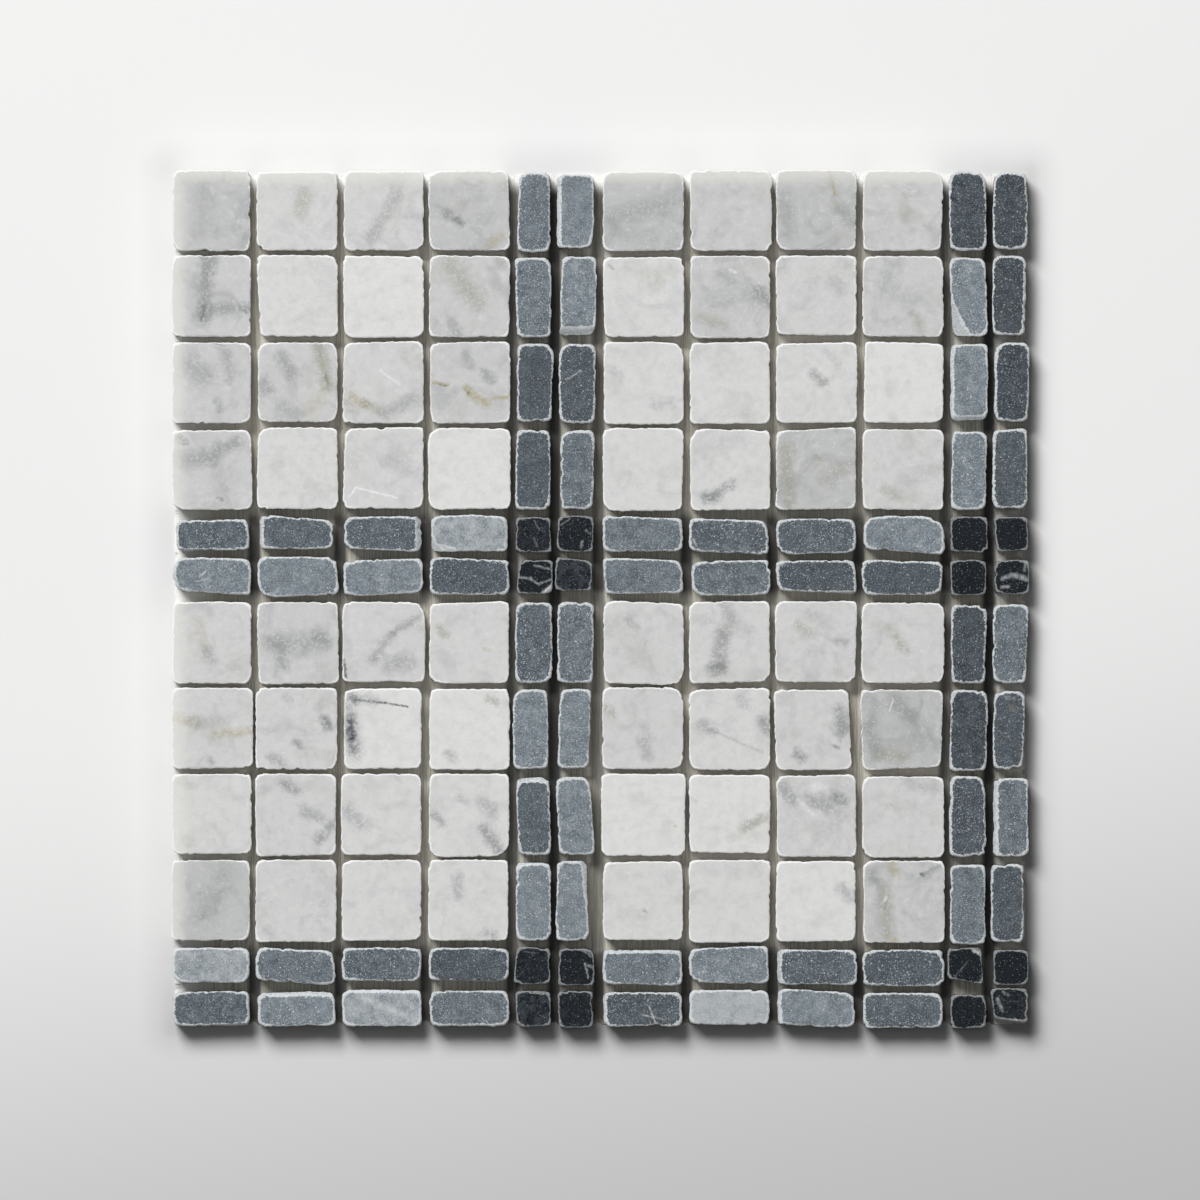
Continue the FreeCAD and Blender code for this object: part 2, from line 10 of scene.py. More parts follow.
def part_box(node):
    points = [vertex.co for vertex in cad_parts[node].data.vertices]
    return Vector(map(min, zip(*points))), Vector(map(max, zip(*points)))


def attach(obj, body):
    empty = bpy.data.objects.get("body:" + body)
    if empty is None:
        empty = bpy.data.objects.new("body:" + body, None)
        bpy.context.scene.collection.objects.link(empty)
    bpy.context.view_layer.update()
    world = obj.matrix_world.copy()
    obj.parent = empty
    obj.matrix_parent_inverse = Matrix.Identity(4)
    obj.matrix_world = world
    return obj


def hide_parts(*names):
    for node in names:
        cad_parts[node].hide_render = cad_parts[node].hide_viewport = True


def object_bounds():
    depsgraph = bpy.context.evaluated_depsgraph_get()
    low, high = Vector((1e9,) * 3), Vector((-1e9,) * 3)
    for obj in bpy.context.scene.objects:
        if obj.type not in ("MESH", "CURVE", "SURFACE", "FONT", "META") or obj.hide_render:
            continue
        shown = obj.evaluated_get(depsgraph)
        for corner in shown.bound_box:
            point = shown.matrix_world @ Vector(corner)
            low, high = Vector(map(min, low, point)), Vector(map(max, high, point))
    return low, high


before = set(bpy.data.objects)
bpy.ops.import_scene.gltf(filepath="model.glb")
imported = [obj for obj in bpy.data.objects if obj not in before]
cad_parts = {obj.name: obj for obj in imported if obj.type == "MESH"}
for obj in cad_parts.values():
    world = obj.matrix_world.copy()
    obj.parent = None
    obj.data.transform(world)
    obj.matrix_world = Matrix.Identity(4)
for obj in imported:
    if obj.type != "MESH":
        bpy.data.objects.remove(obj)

# A tumbled marble mosaic sheet in a plaid, lying on a pale floor and seen from straight above.
# Sizes in the dictionaries are millimetres unless a note says otherwise.
mm = 0.001
cadLow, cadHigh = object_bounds()
filmLow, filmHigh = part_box("mesh_backing")

camera = {
    "frameWidth": 427.5,  # what the photograph takes in, at the stones' faces
    "distance": 5000,
    "lower": 0.36,  # below the middle of the sheet
    "sensorWidth": 36,
    "furthest": 20000,
}

# Shares are of the light that a level face gets
lamps = {
    "windowLamp": {"towards": (-5.0, 9.0, 12.3), "distance": 6000, "size": 2700, "share": 0.885},
    "ceilingLamp": {"towards": (0.0, 0.0, 1.0), "distance": 6000, "size": 1500, "share": 0.05},
}

studio = {
    "skyShare": 0.08,
    "floorSide": 12000,
    # The floor is painted darker towards the bottom and a little to the right: painted shade of the light
    # falling off
    "floorUpper": (0.87, 0.87, 0.865),
    "floorLower": (0.56, 0.56, 0.562),
    "floorFade": (-270, 0),  # painted shade: from where to where the floor turns from lower to upper
    "floorSlant": -0.17,  # painted shade: the fade leans, so the right is a little darker
    "floorBeside": 0.855,  # painted shade: how much of its colour it keeps beside the sheet
    "floorBesideReach": 14,
    "floorInShadow": 0.7,  # painted shadow: and how much more it loses where the sheet's shadow falls
    "floorInShadowReach": 5.5,
    "shadowSide": (-40, 60),  # from lit to shadowed, by how much further right than up a place is
    "roughness": 0.9,
    "gloss": 0.2,
}

# Helpers


def addObject(name, data):
    made = bpy.data.objects.new(name, data)
    bpy.context.scene.collection.objects.link(made)
    return made


def addNode(tree, kind, inputs, **settings):
    made = tree.nodes.new(kind)
    for name, value in settings.items():
        setattr(made, name, value)
    for name, value in inputs.items():
        if isinstance(value, bpy.types.NodeSocket):
            tree.links.new(value, made.inputs[name])
        else:
            made.inputs[name].default_value = value
    return made.outputs[0]


def calculate(tree, operation, first, second=0.0, third=0.0):
    return addNode(tree, "ShaderNodeMath", {0: first, 1: second, 2: third}, operation=operation)


def vectorMath(tree, operation, *given):
    return addNode(tree, "ShaderNodeVectorMath", dict(enumerate(given)), operation=operation)


def vectorOf(tree, **along):
    return addNode(tree, "ShaderNodeCombineXYZ", along)


def product(tree, first, *others):
    for other in others:
        first = calculate(tree, "MULTIPLY", first, other)
    return first


def largest(tree, first, *others):
    for other in others:
        first = calculate(tree, "MAXIMUM", first, other)
    return first


def between(tree, value, low, high, start=0.0, end=1.0):
    # From start at low to end at high, eased at both
    inputs = {"Value": value, "From Min": low, "From Max": high, "To Min": start, "To Max": end}
    return addNode(tree, "ShaderNodeMapRange", inputs, interpolation_type="SMOOTHSTEP")


def near(tree, value, middle, far, close, strength=1.0):
    # Nothing where a value is far from its middle one, and strength where it is close
    away = calculate(tree, "ABSOLUTE", calculate(tree, "SUBTRACT", value, middle))
    return between(tree, away, far, close, 0.0, strength)


def mixColour(tree, amount, first, second):
    colours = [given if isinstance(given, bpy.types.NodeSocket) else (*given, 1) for given in (first, second)]
    made = tree.nodes.new("ShaderNodeMix")
    made.data_type = "RGBA"
    for name, value in zip(("Factor", "A", "B"), (amount, *colours)):
        if isinstance(value, bpy.types.NodeSocket):
            tree.links.new(value, made.inputs[name])
        else:
            made.inputs[name].default_value = value
    return made.outputs["Result"]


def tint(tree, colour, paint, *amounts):
    # Lay a paint over a colour, as strongly as its amounts multiply to
    return mixColour(tree, product(tree, *amounts), colour, paint)


def inMillimetres(tree, stretch=(1, 1, 1)):
    place = tree.nodes.new("ShaderNodeTexCoord").outputs["Object"]
    return vectorMath(tree, "MULTIPLY", place, tuple(along / mm for along in stretch))


def parts(tree, place):
    split = tree.nodes.new("ShaderNodeSeparateXYZ")
    tree.links.new(place, split.inputs[0])
    return split.outputs


def attribute(tree, name):
    made = tree.nodes.new("ShaderNodeAttribute")
    made.attribute_name = name
    return made.outputs["Fac"]


def grain(tree, place, size, detail=2.0, rough=0.5, swirl=0.0):
    # Soft noise with features about size millimetres across
    inputs = {"Vector": place, "Scale": 1 / size, "Detail": detail, "Roughness": rough, "Distortion": swirl}
    return addNode(tree, "ShaderNodeTexNoise", inputs)


def dots(tree, place, apart, radius, share):
    # Round specks, at random places about apart millimetres from each other
    made = tree.nodes.new("ShaderNodeTexVoronoi")
    made.inputs["Scale"].default_value = 1 / apart
    tree.links.new(place, made.inputs["Vector"])
    inside = between(tree, made.outputs["Distance"], radius / apart, radius / apart * 0.5)
    chosen = parts(tree, made.outputs["Color"])["X"]
    return product(tree, inside, calculate(tree, "LESS_THAN", chosen, share))


def ownPlace(tree, place):
    # A place in the pattern of a stone's own, so that neighbours don't match
    shift = attribute(tree, "shift")
    return vectorMath(tree, "ADD", place, vectorOf(tree, X=shift, Y=product(tree, shift, 3.1), Z=shift))


def newMaterial(name):
    material = bpy.data.materials.new(name)
    material.use_nodes = True
    return material, material.node_tree


def finish(tree, colour, use, height=None):
    # The shader: its colour and bump are wired, and the rest are plain numbers
    shader = tree.nodes["Principled BSDF"]
    tree.links.new(colour, shader.inputs["Base Color"])
    shader.inputs["Roughness"].default_value = use["roughness"]
    shader.inputs["Specular IOR Level"].default_value = use["gloss"]
    if height is not None:
        inputs = {"Height": height, "Distance": use["bumpDepth"] * mm, "Strength": 1.0}
        tree.links.new(addNode(tree, "ShaderNodeBump", inputs), shader.inputs["Normal"])


def markGroup():
    # A soft streak between two points of a stone's face, for veins and stains
    tree = bpy.data.node_groups.new("mark", "ShaderNodeTree")
    for name, kind in (("Place", "Vector"), ("From", "Vector"), ("To", "Vector"), ("Width", "Float")):
        tree.interface.new_socket(name, in_out="INPUT", socket_type=f"NodeSocket{kind}")
    tree.interface.new_socket("Amount", in_out="OUTPUT", socket_type="NodeSocketFloat")
    given = tree.nodes.new("NodeGroupInput").outputs
    result = tree.nodes.new("NodeGroupOutput").inputs

    def vector(operation, first, second):
        made = tree.nodes.new("ShaderNodeVectorMath")
        made.operation = operation
        tree.links.new(first, made.inputs[0])
        tree.links.new(second, made.inputs["Scale"] if operation == "SCALE" else made.inputs[1])
        return made.outputs["Value"] if operation in ("DOT_PRODUCT", "DISTANCE") else made.outputs[0]

    along = vector("SUBTRACT", given["To"], given["From"])
    reach = vector("SUBTRACT", given["Place"], given["From"])
    across = vector("DOT_PRODUCT", reach, along)
    whole = vector("DOT_PRODUCT", along, along)
    share = addNode(tree, "ShaderNodeMath", {0: across, 1: whole}, operation="DIVIDE", use_clamp=True)
    away = vector("DISTANCE", reach, vector("SCALE", along, share))
    tree.links.new(between(tree, away, given["Width"], 0.0), result["Amount"])
    return tree


# Camera, lamp and floor


def makeCamera(use):
    data = bpy.data.cameras.new("camera")
    data.sensor_width = use["sensorWidth"]
    data.lens = use["sensorWidth"] * use["distance"] / use["frameWidth"]
    data.clip_end = use["furthest"] * mm
    seen = addObject("camera", data)
    seen.location = (0, -use["lower"] * mm, cadHigh.z + use["distance"] * mm)
    bpy.context.scene.camera = seen


def makeLamp(name, use):
    towards = Vector(use["towards"]).normalized()
    distance = use["distance"] * mm
    data = bpy.data.lights.new(name, "AREA")
    data.size = use["size"] * mm
    # Power at which a level white face under the lamp alone shows its share of white
    data.energy = use["share"] * math.pi**2 * distance**2 / towards.z
    lamp = addObject(name, data)
    lamp.location = towards * distance
    lamp.rotation_euler = towards.to_track_quat("Z", "Y").to_euler()


def makeRoom(use):
    world = bpy.data.worlds.new("paleRoom")
    world.use_nodes = True
    sky = world.node_tree.nodes["Background"].inputs
    sky["Color"].default_value = (1, 1, 1, 1)
    sky["Strength"].default_value = use["skyShare"]
    bpy.context.scene.world = world
    bpy.context.scene.view_settings.view_transform = "Standard"


def makeFloor(use):
    half = use["floorSide"] / 2 * mm
    mesh = bpy.data.meshes.new("floor")
    corners = [(-half, -half, 0), (half, -half, 0), (half, half, 0), (-half, half, 0)]
    mesh.from_pydata(corners, [], [(0, 1, 2, 3)])
    floor = addObject("floor", mesh)
    material, tree = newMaterial("paleFloor")
    across = parts(tree, inMillimetres(tree))
    # Painted shade: the floor's colour darkens towards the bottom and right
    along = calculate(tree, "MULTIPLY_ADD", across["X"], use["floorSlant"], across["Y"])
    colour = mixColour(tree, between(tree, along, *use["floorFade"]), use["floorLower"], use["floorUpper"])
    # Painted shade: the floor is painted a little greyer beside the sheet, and more so as a painted shadow
    # where its shadow falls, below and on the right
    beside = []
    for axis, reach in (("X", cadHigh.x / mm), ("Y", cadHigh.y / mm)):
        outside = calculate(tree, "SUBTRACT", calculate(tree, "ABSOLUTE", across[axis]), reach)
        beside.append(calculate(tree, "POWER", largest(tree, outside, 0.0), 2.0))
    away = calculate(tree, "SQRT", calculate(tree, "ADD", *beside))
    paintedShade = between(tree, away, 0, use["floorBesideReach"], 1 - use["floorBeside"], 0.0)
    colour = tint(tree, colour, (0, 0, 0), paintedShade)
    paintedShade = between(tree, away, 0, use["floorInShadowReach"], 1 - use["floorInShadow"], 0.0)
    aside = calculate(tree, "SUBTRACT", across["X"], across["Y"])
    shadowed = between(tree, aside, *use["shadowSide"])
    colour = tint(tree, colour, (0, 0, 0), paintedShade, shadowed)
    finish(tree, colour, use)
    mesh.materials.append(material)


print("stage: camera, lamps and floor")
makeCamera(camera)
for name, use in lamps.items():
    makeLamp(name, use)
makeRoom(studio)
makeFloor(studio)

# The stones' shapes

stoneWear = {
    # How far an edge wanders, how much of the solid's arris stays, and a seed for each group
    "white": {"wave": 0.2, "ripple": 0.26, "chip": 1.1, "chipAbove": 0.3, "arrisKept": 0.55},
    "grey": {"wave": 0.36, "ripple": 0.25, "chip": 1.3, "chipAbove": 0.28, "arrisKept": 0.7},
    "black": {"wave": 0.34, "ripple": 0.26, "chip": 1.3, "chipAbove": 0.28, "arrisKept": 0.8},
    "seeds": {"white_squares": 11, "upright_sticks": 37, "level_sticks": 61, "black_squares": 83},
}

stoneMesh = {
    "spacing": 0.55,  # between points along an outline
    "cornerSoftening": 1,
    "rings": (0, 0.08, 0.2, 0.36, 0.56, 0.85, 1.3, 2.0),  # inwards from the outline
    "innerRings": (0.36, 0.68),  # shares of the way to the middle
    "wallRings": (1.0, 0.66, 0.33),  # shares of the way down the side
    "arrisSoftness": 0.08,
    "rimSoftness": 0.6,
    "undulation": 0.08,
    "undulationLength": 8.0,
    "levelFrom": 1.5,  # inwards from the outline
    "waveLength": 6.5,
    "rippleLength": 1.5,
    "chipLength": 2.6,
    "wearReach": 1.4,  # how far inwards the outline's wear is felt
    "pitDepth": 0.12,
    "facePitLength": 1.1,
    "sidePitLength": 2.6,
    "footTuck": 0.06,
    "margin": 0.02,  # kept free inside the solids' own box
    "mergeDistance": 0.01,
    "leastStep": 0.4,  # from the last ring to the first inner one
    "edgeOnChips": -1.7,  # the least value of edge on the upper faces
    "edgeOnSides": -2.0,
    "edgeOnFoot": -3.0,
    "shifts": 400,  # the range of the stones' shifts in their patterns
}

# How pale each stone is, as row from the top and column from the left
greyestWhites = {(1, 1), (1, 4), (1, 7), (1, 9), (4, 9), (8, 10), (10, 1)}
greyWhites = {(1, 8), (1, 10), (2, 1), (2, 4), (2, 8), (2, 10), (3, 1), (3, 2), (3, 4),
              (4, 1), (7, 2), (10, 10)}
paleWhites = {(2, 2), (2, 7), (3, 7), (3, 8), (3, 9), (4, 2), (4, 7), (4, 8), (8, 8), (9, 1), (9, 3), (9, 4),
              (10, 3), (10, 4), (10, 7), (10, 8)}
palestWhites = {(2, 3), (3, 10), (4, 4), (8, 3), (8, 4), (9, 7), (9, 8), (10, 9)}
darkestSticks = {(1, 11), (1, 12), (2, 12), (3, 12), (7, 11), (8, 11)}
darkSticks = {(3, 5), (3, 6), (4, 5), (4, 12), (6, 4), (6, 9), (6, 10), (8, 12), (9, 11), (10, 12), (11, 4),
              (11, 10), (12, 7)}
slateSticks = {(5, 1), (5, 2), (5, 3), (5, 8), (5, 9), (7, 5), (9, 5), (11, 3), (11, 9),
               (12, 1), (12, 10)}
paleSticks = {(1, 6), (2, 6), (2, 11), (3, 11), (4, 11), (5, 10), (6, 1), (6, 2), (6, 3), (8, 5), (8, 6),
              (9, 6), (10, 5), (10, 6), (11, 8), (12, 2), (12, 9)}
palestSticks = {(5, 4), (11, 1), (12, 3)}
whitestSticks = {(12, 8)}
paleBlacks = {(5, 5), (6, 6), (11, 5), (12, 5), (12, 6), (12, 12)}
palestBlacks = {(6, 6), (12, 5)}
shades = {
    "white": ((greyestWhites, 0.08), (greyWhites, 0.34), (paleWhites, 0.74), (palestWhites, 0.97)),
    "grey": ((darkestSticks, 0.14), (darkSticks, 0.26), (slateSticks, 0.38), (paleSticks, 0.66),
             (palestSticks, 0.87), (whitestSticks, 1.0)),
    "black": ((palestBlacks, 2.6), (paleBlacks, 0.65)),
}
plainShade = {"white": 0.57, "grey": 0.5, "black": 0.1}
shadeDrift = 0.04


def kindOf(node):
    return "grey" if "sticks" in node else node.split("_")[0]


def stonePlaces(node):
    # The row and the first column of a node's stones
    row = int(node.split("_row_")[1][:2])
    first = (1 if node.endswith("left") else 7) + (4 if node.startswith(("upright", "black")) else 0)
    return row, first


def mergedShell(node):
    # A copy of a node's solid with its corners merged
    shell = bmesh.new()
    shell.from_mesh(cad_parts[node].data)
    bmesh.ops.remove_doubles(shell, verts=shell.verts, dist=stoneMesh["mergeDistance"] * mm)
    return shell


def splitStones(node):
    # Each stone of a node: its points in millimetres and the planes of its upper faces
    shell = mergedShell(node)
    shell.verts.index_update()
    shell.verts.ensure_lookup_table()
    shell.normal_update()
    unseen = set(range(len(shell.verts)))
    stones = []
    while unseen:
        first = min(unseen)
        members, growing = {first}, [first]
        while growing:
            for edge in shell.verts[growing.pop()].link_edges:
                for vert in edge.verts:
                    if vert.index not in members:
                        members.add(vert.index)
                        growing.append(vert.index)
        unseen -= members
        points = np.array([shell.verts[i].co / mm for i in sorted(members)])
        planes = set()
        for face in shell.faces:
            if face.normal.z > 0.05 and face.verts[0].index in members:
                normal = face.normal
                offset = normal.dot(face.verts[0].co / mm)
                planes.add((round(normal.x, 3), round(normal.y, 3), round(normal.z, 3), round(offset, 2)))
        stones.append((points, np.array(sorted(planes))))
    shell.free()
    return sorted(stones, key=lambda stone: stone[0][:, 0].mean())


def baseOutline(points):
    base = points[points[:, 2] < points[:, 2].min() + stoneMesh["mergeDistance"]][:, :2]
    around = base - base.mean(axis=0)
    return base[np.argsort(np.arctan2(around[:, 1], around[:, 0]))]


def evenPoints(outline, spacing, softening):
    # Points at even steps round the outline, with its corners softened
    closed = np.vstack([outline, outline[:1]])
    steps = np.linalg.norm(np.diff(closed, axis=0), axis=1)
    travelled = np.concatenate([[0], np.cumsum(steps)])
    count = int(round(travelled[-1] / spacing))
    at = np.arange(count) * travelled[-1] / count
    points = np.column_stack([np.interp(at, travelled, closed[:, axis]) for axis in (0, 1)])
    for _ in range(softening):
        points = (np.roll(points, 1, axis=0) + 2 * points + np.roll(points, -1, axis=0)) / 4
    return points


def softLeast(values, softness):
    # The least of several surfaces, with the edges between them rounded
    least = values.min(axis=0)
    return least - softness * np.log(np.exp((least - values) / softness).sum(axis=0))


def noiseAt(points, size, seed):
    return np.array([noise.noise(Vector((x / size, y / size, seed))) for x, y in points])


def stoneSurface(points, planes, wear, seed, use):
    # Rings of points from the stone's foot up its side, over the worn arris and across its face
    outline = evenPoints(baseOutline(points), use["spacing"], use["cornerSoftening"])
    low, high = outline.min(axis=0), outline.max(axis=0)
    middle, half = (low + high) / 2, (high - low) / 2
    foot, top = filmTop, points[:, 2].max()
    slanted = planes[planes[:, 2] < 0.999]

    chips = np.maximum(noiseAt(outline, use["chipLength"], seed + 21) - wear["chipAbove"], 0)
    lost = wear["wave"] * noiseAt(outline, use["waveLength"], seed)
    lost += wear["ripple"] * noiseAt(outline, use["rippleLength"], seed + 9) + wear["chip"] * chips

    def drawnIn(distance, share=1.0):
        distances = distance + lost * share * math.exp(-((distance / use["wearReach"]) ** 2))
        placed = middle + (outline - middle) * (1 - distances[:, None] / half)
        low, high = np.array(cadLow.xy) / mm, np.array(cadHigh.xy) / mm
        return np.clip(placed, low + use["margin"], high - use["margin"])

    def spans(plan):
        # How far each point is inside the top edge of each worn side
        found = []
        for nx, ny, nz, d in slanted:
            rise = (d - nx * plan[:, 0] - ny * plan[:, 1]) / nz
            found.append((rise - top) * nz / math.hypot(nx, ny))
        return np.array(found)

    slopes = np.hypot(slanted[:, 0], slanted[:, 1]) / slanted[:, 2]
    deepest = np.abs(spans(outline).min(axis=0)).mean()  # about the arris's width
    insets = list(use["rings"])
    innerRings = [share * half.min() for share in use["innerRings"]]
    insets += [inset for inset in innerRings if inset > use["rings"][-1] + use["leastStep"]]
    surface, edge = [], []
    for distance in insets:
        plan = middle + (outline - middle) * (1 - distance / half)
        placed = drawnIn(distance)
        inside = spans(plan)
        eased = inside + (1 - wear["arrisKept"]) * deepest  # the arris is a little crisper than the solid's
        falls = np.vstack([eased * slopes[:, None], np.zeros(len(plan))])
        height = top + softLeast(falls, use["arrisSoftness"])
        fade = min(1, distance / use["levelFrom"])
        undulating = 0.5 + noiseAt(placed, use["undulationLength"], seed + 4)
        pitted = np.abs(noiseAt(placed, use["facePitLength"], seed + 6))
        height = height - use["undulation"] * fade * undulating
        height = height - use["pitDepth"] * (1 - fade) * pitted
        surface.append(np.column_stack([placed, np.minimum(height, top)]))
        edge.append(np.maximum(softLeast(inside, use["rimSoftness"]), use["edgeOnChips"]))
    shoulder = surface[0][:, 2]
    for share in reversed(use["wallRings"]):
        placed = drawnIn(use["footTuck"] * share, 1 - 0.5 * share)
        pitted = use["pitDepth"] * np.abs(noiseAt(placed, use["sidePitLength"], seed + share))
        placed = placed - (placed - middle) / half * pitted[:, None]
        surface.insert(0, np.column_stack([placed, shoulder + (foot - shoulder) * share]))
        edge.insert(0, np.full(len(outline), use["edgeOnSides"] - share))
    return surface, edge, (middle, foot, surface[-1][:, 2].mean())


def ringFaces(count, rings, start):
    # Quads up the rings, a fan under the foot and one on the face
    around = np.arange(count)
    onwards = (around + 1) % count
    faces = []
    for ring in range(rings - 1):
        lower, upper = start + ring * count, start + (ring + 1) * count
        faces += np.column_stack([lower + around, lower + onwards, upper + onwards, upper + around]).tolist()
    footMiddle = start + rings * count
    faceMiddle = footMiddle + 1
    last = start + (rings - 1) * count
    faces += np.column_stack([start + onwards, start + around, np.full(count, footMiddle)]).tolist()
    faces += np.column_stack([last + around, last + onwards, np.full(count, faceMiddle)]).tolist()
    return faces


def toneOf(kind, place, draw):
    # How pale a stone is within its own kind, from 0 to 1, and past 1 for the palest black ones
    drift = draw.uniform(-shadeDrift, shadeDrift)
    for members, shade in shades[kind]:
        if place in members:
            return shade + drift / 2
    return plainShade[kind] + drift


def dressNode(node, material, use):
    # One mesh for the stones of a node, with the values that its material reads
    row, firstColumn = stonePlaces(node)
    wear, group = stoneWear[kindOf(node)], stoneWear["seeds"][node.split("_row_")[0]]
    verts, faces, values = [], [], {"edge": [], "tone": [], "shift": [], "flecks": []}
    total = 0
    for column, (points, planes) in enumerate(splitStones(node), start=firstColumn):
        draw = random.Random(group * 1000 + row * 20 + column)
        shift = draw.uniform(0, use["shifts"])
        surface, edge, (middle, foot, face) = stoneSurface(points, planes, wear, shift, use)
        count = len(surface[0])
        verts += surface + [np.array([[*middle, foot], [*middle, face]])]
        faces += ringFaces(count, len(surface), total)
        size = count * len(surface) + 2
        values["edge"] += edge + [np.array([use["edgeOnFoot"], edge[-1].mean()])]
        values["tone"].append(np.full(size, toneOf(kindOf(node), (row, column), draw)))
        values["shift"].append(np.full(size, shift))
        values["flecks"].append(np.full(size, draw.random()))
        total += size
    words = node.split("_")
    name = words[0] + "".join(word.capitalize() for word in words[1:])
    mesh = bpy.data.meshes.new(name)
    mesh.from_pydata((np.vstack(verts) * mm).tolist(), [], faces)
    mesh.shade_smooth()
    for label, shares in values.items():
        layer = mesh.attributes.new(label, "FLOAT", "POINT")
        layer.data.foreach_set("value", np.concatenate(shares).astype(np.float32))
    mesh.materials.append(material)
    return addObject(name, mesh)


# The stones' finishes

# Patterns are size, detail, roughness and swirl. Fades run between two values of their pattern, from
# nothing to full, or between the two amounts that follow. ByTone pairs are a factor for the stone's
# tone and what is added. Specks and flecks are how far apart, their radius, what share of them shows,
# and how strongly.
whiteLook = {
    "pale": (0.755, 0.756, 0.745),
    "grey": (0.520, 0.527, 0.525),
    "cloud": (0.33, 0.34, 0.342),
    "clouds": (12, 4, 0.64, 1.0),
    "cloudFade": (0.46, 0.74),
    "cloudByTone": (-0.5, 0.62),
    "mottle": (2.6, 3, 0.7),
    "mottleDark": (0.40, 0.76, 0.0, 0.17),
    "mottlePale": (0.46, 0.26, 0.0, 0.34),
    "warm": (9, 2),
    "warmFade": (0.54, 0.78, 0.0, 0.2),
    "specks": (1.2, 0.25, 0.4, 0.8),
    "speckPatches": (7, 1),
    "speckFade": (0.44, 0.68, 0.1, 0.9),
    # painted light: a paler cream glow on the stones at the sheet's upper and left edges
    "cream": (0.84, 0.825, 0.775),
    "creamLeft": (7, -1),  # painted light, inwards from the film's left edge
    "creamUpper": (6, -1),
    "creamStrength": 0.6,
    "rim": (0.92, 0.92, 0.91),
    "rimReach": -0.30,  # inside the face's edge; the arris is outside it
    "rimRagged": 0.75,
    "rimStrength": 0.8,
    "sideStrength": 0.75,
    "roughness": 0.62,
    "gloss": 0.25,
    "bumps": (0.6, 1),
    "bumpDepth": 0.05,
}

greyLook = {
    "tones": ((0.0, (0.030, 0.039, 0.049)), (0.36, (0.076, 0.096, 0.114)),
              (0.7, (0.180, 0.216, 0.243)), (1.0, (0.410, 0.435, 0.450))),
    "clouds": (4, 4, 0.7),
    "cloudShift": (0.25, 0.75, -0.16, 0.16),
    "fine": (0.5, 1, 0.7),
    "fineFade": (0.44, 0.72),
    "fineByTone": (0.34, 0.05),
    "fleck": (0.70, 0.735, 0.755),
    "flecks": ((0.75, 0.26, 0.8, 0.7), (1.5, 0.34, 0.5, 0.95)),
    "fleckPatches": (5, 1),
    "fleckPatchFade": (0.3, 0.65, 0.4, 1.0),
    "fleckRange": (0.4, 0.5),  # a factor for the stone's own value, and what is added
    "fleckToneFade": (0.1, 0.5, 0.6, 1.0),
    "rim": (0.70, 0.725, 0.735),
    "rimReach": -0.22,
    "rimRagged": 1.1,
    "rimStrength": 0.9,
    "sideFrost": (0.4, 0.7, 0.0, 0.5),
    "glueReach": (2.6, 0.4),  # up the side, above the film
    "glueStrength": 0.75,
    "roughness": 0.68,
    "gloss": 0.2,
    "bumpDepth": 0.07,
}

blackLook = {
    "face": (0.0055, 0.0085, 0.0122),
    "cloud": (0.033, 0.040, 0.048),
    "clouds": (2.4, 4, 0.7),
    "cloudFade": (0.38, 0.72),
    "fine": (0.5, 1, 0.7),
    "fineFade": (0.48, 0.74, 0.0, 0.13),
    "fleck": (0.26, 0.28, 0.29),
    "flecks": (0.9, 0.23, 0.5, 0.7),
    "rim": (0.38, 0.40, 0.405),
    "rimReach": -0.2,
    "rimRagged": 0.6,
    "rimStrength": 0.7,
    "sideFrost": (0.45, 0.7, 0.0, 0.35),
    "roughness": 0.62,
    "gloss": 0.12,
    "bumpDepth": 0.06,
}

rimLook = {
    "torn": (1.3, 3, 0.7),
    "softness": 0.12,
    "frost": (0.7, 1),
    "frostFade": (0.3, 0.6, 0.6, 1.0),
    "chipFade": (-0.8, -1.3, 1.0, 0.8),  # wide chips are less white than the arris
    "sideFade": (-1.9, -2.1),
}

paints = {
    "cloud": (0.27, 0.28, 0.285),
    "vein": (0.14, 0.15, 0.145),
    "olive": (0.36, 0.355, 0.28),
    "ochre": (0.40, 0.35, 0.205),
    "dark": (0.085, 0.095, 0.10),
    "ink": (0.040, 0.048, 0.066),
    "brown": (0.16, 0.13, 0.11),
    "white": (0.88, 0.88, 0.88),
    "pale": (0.36, 0.38, 0.39),
}

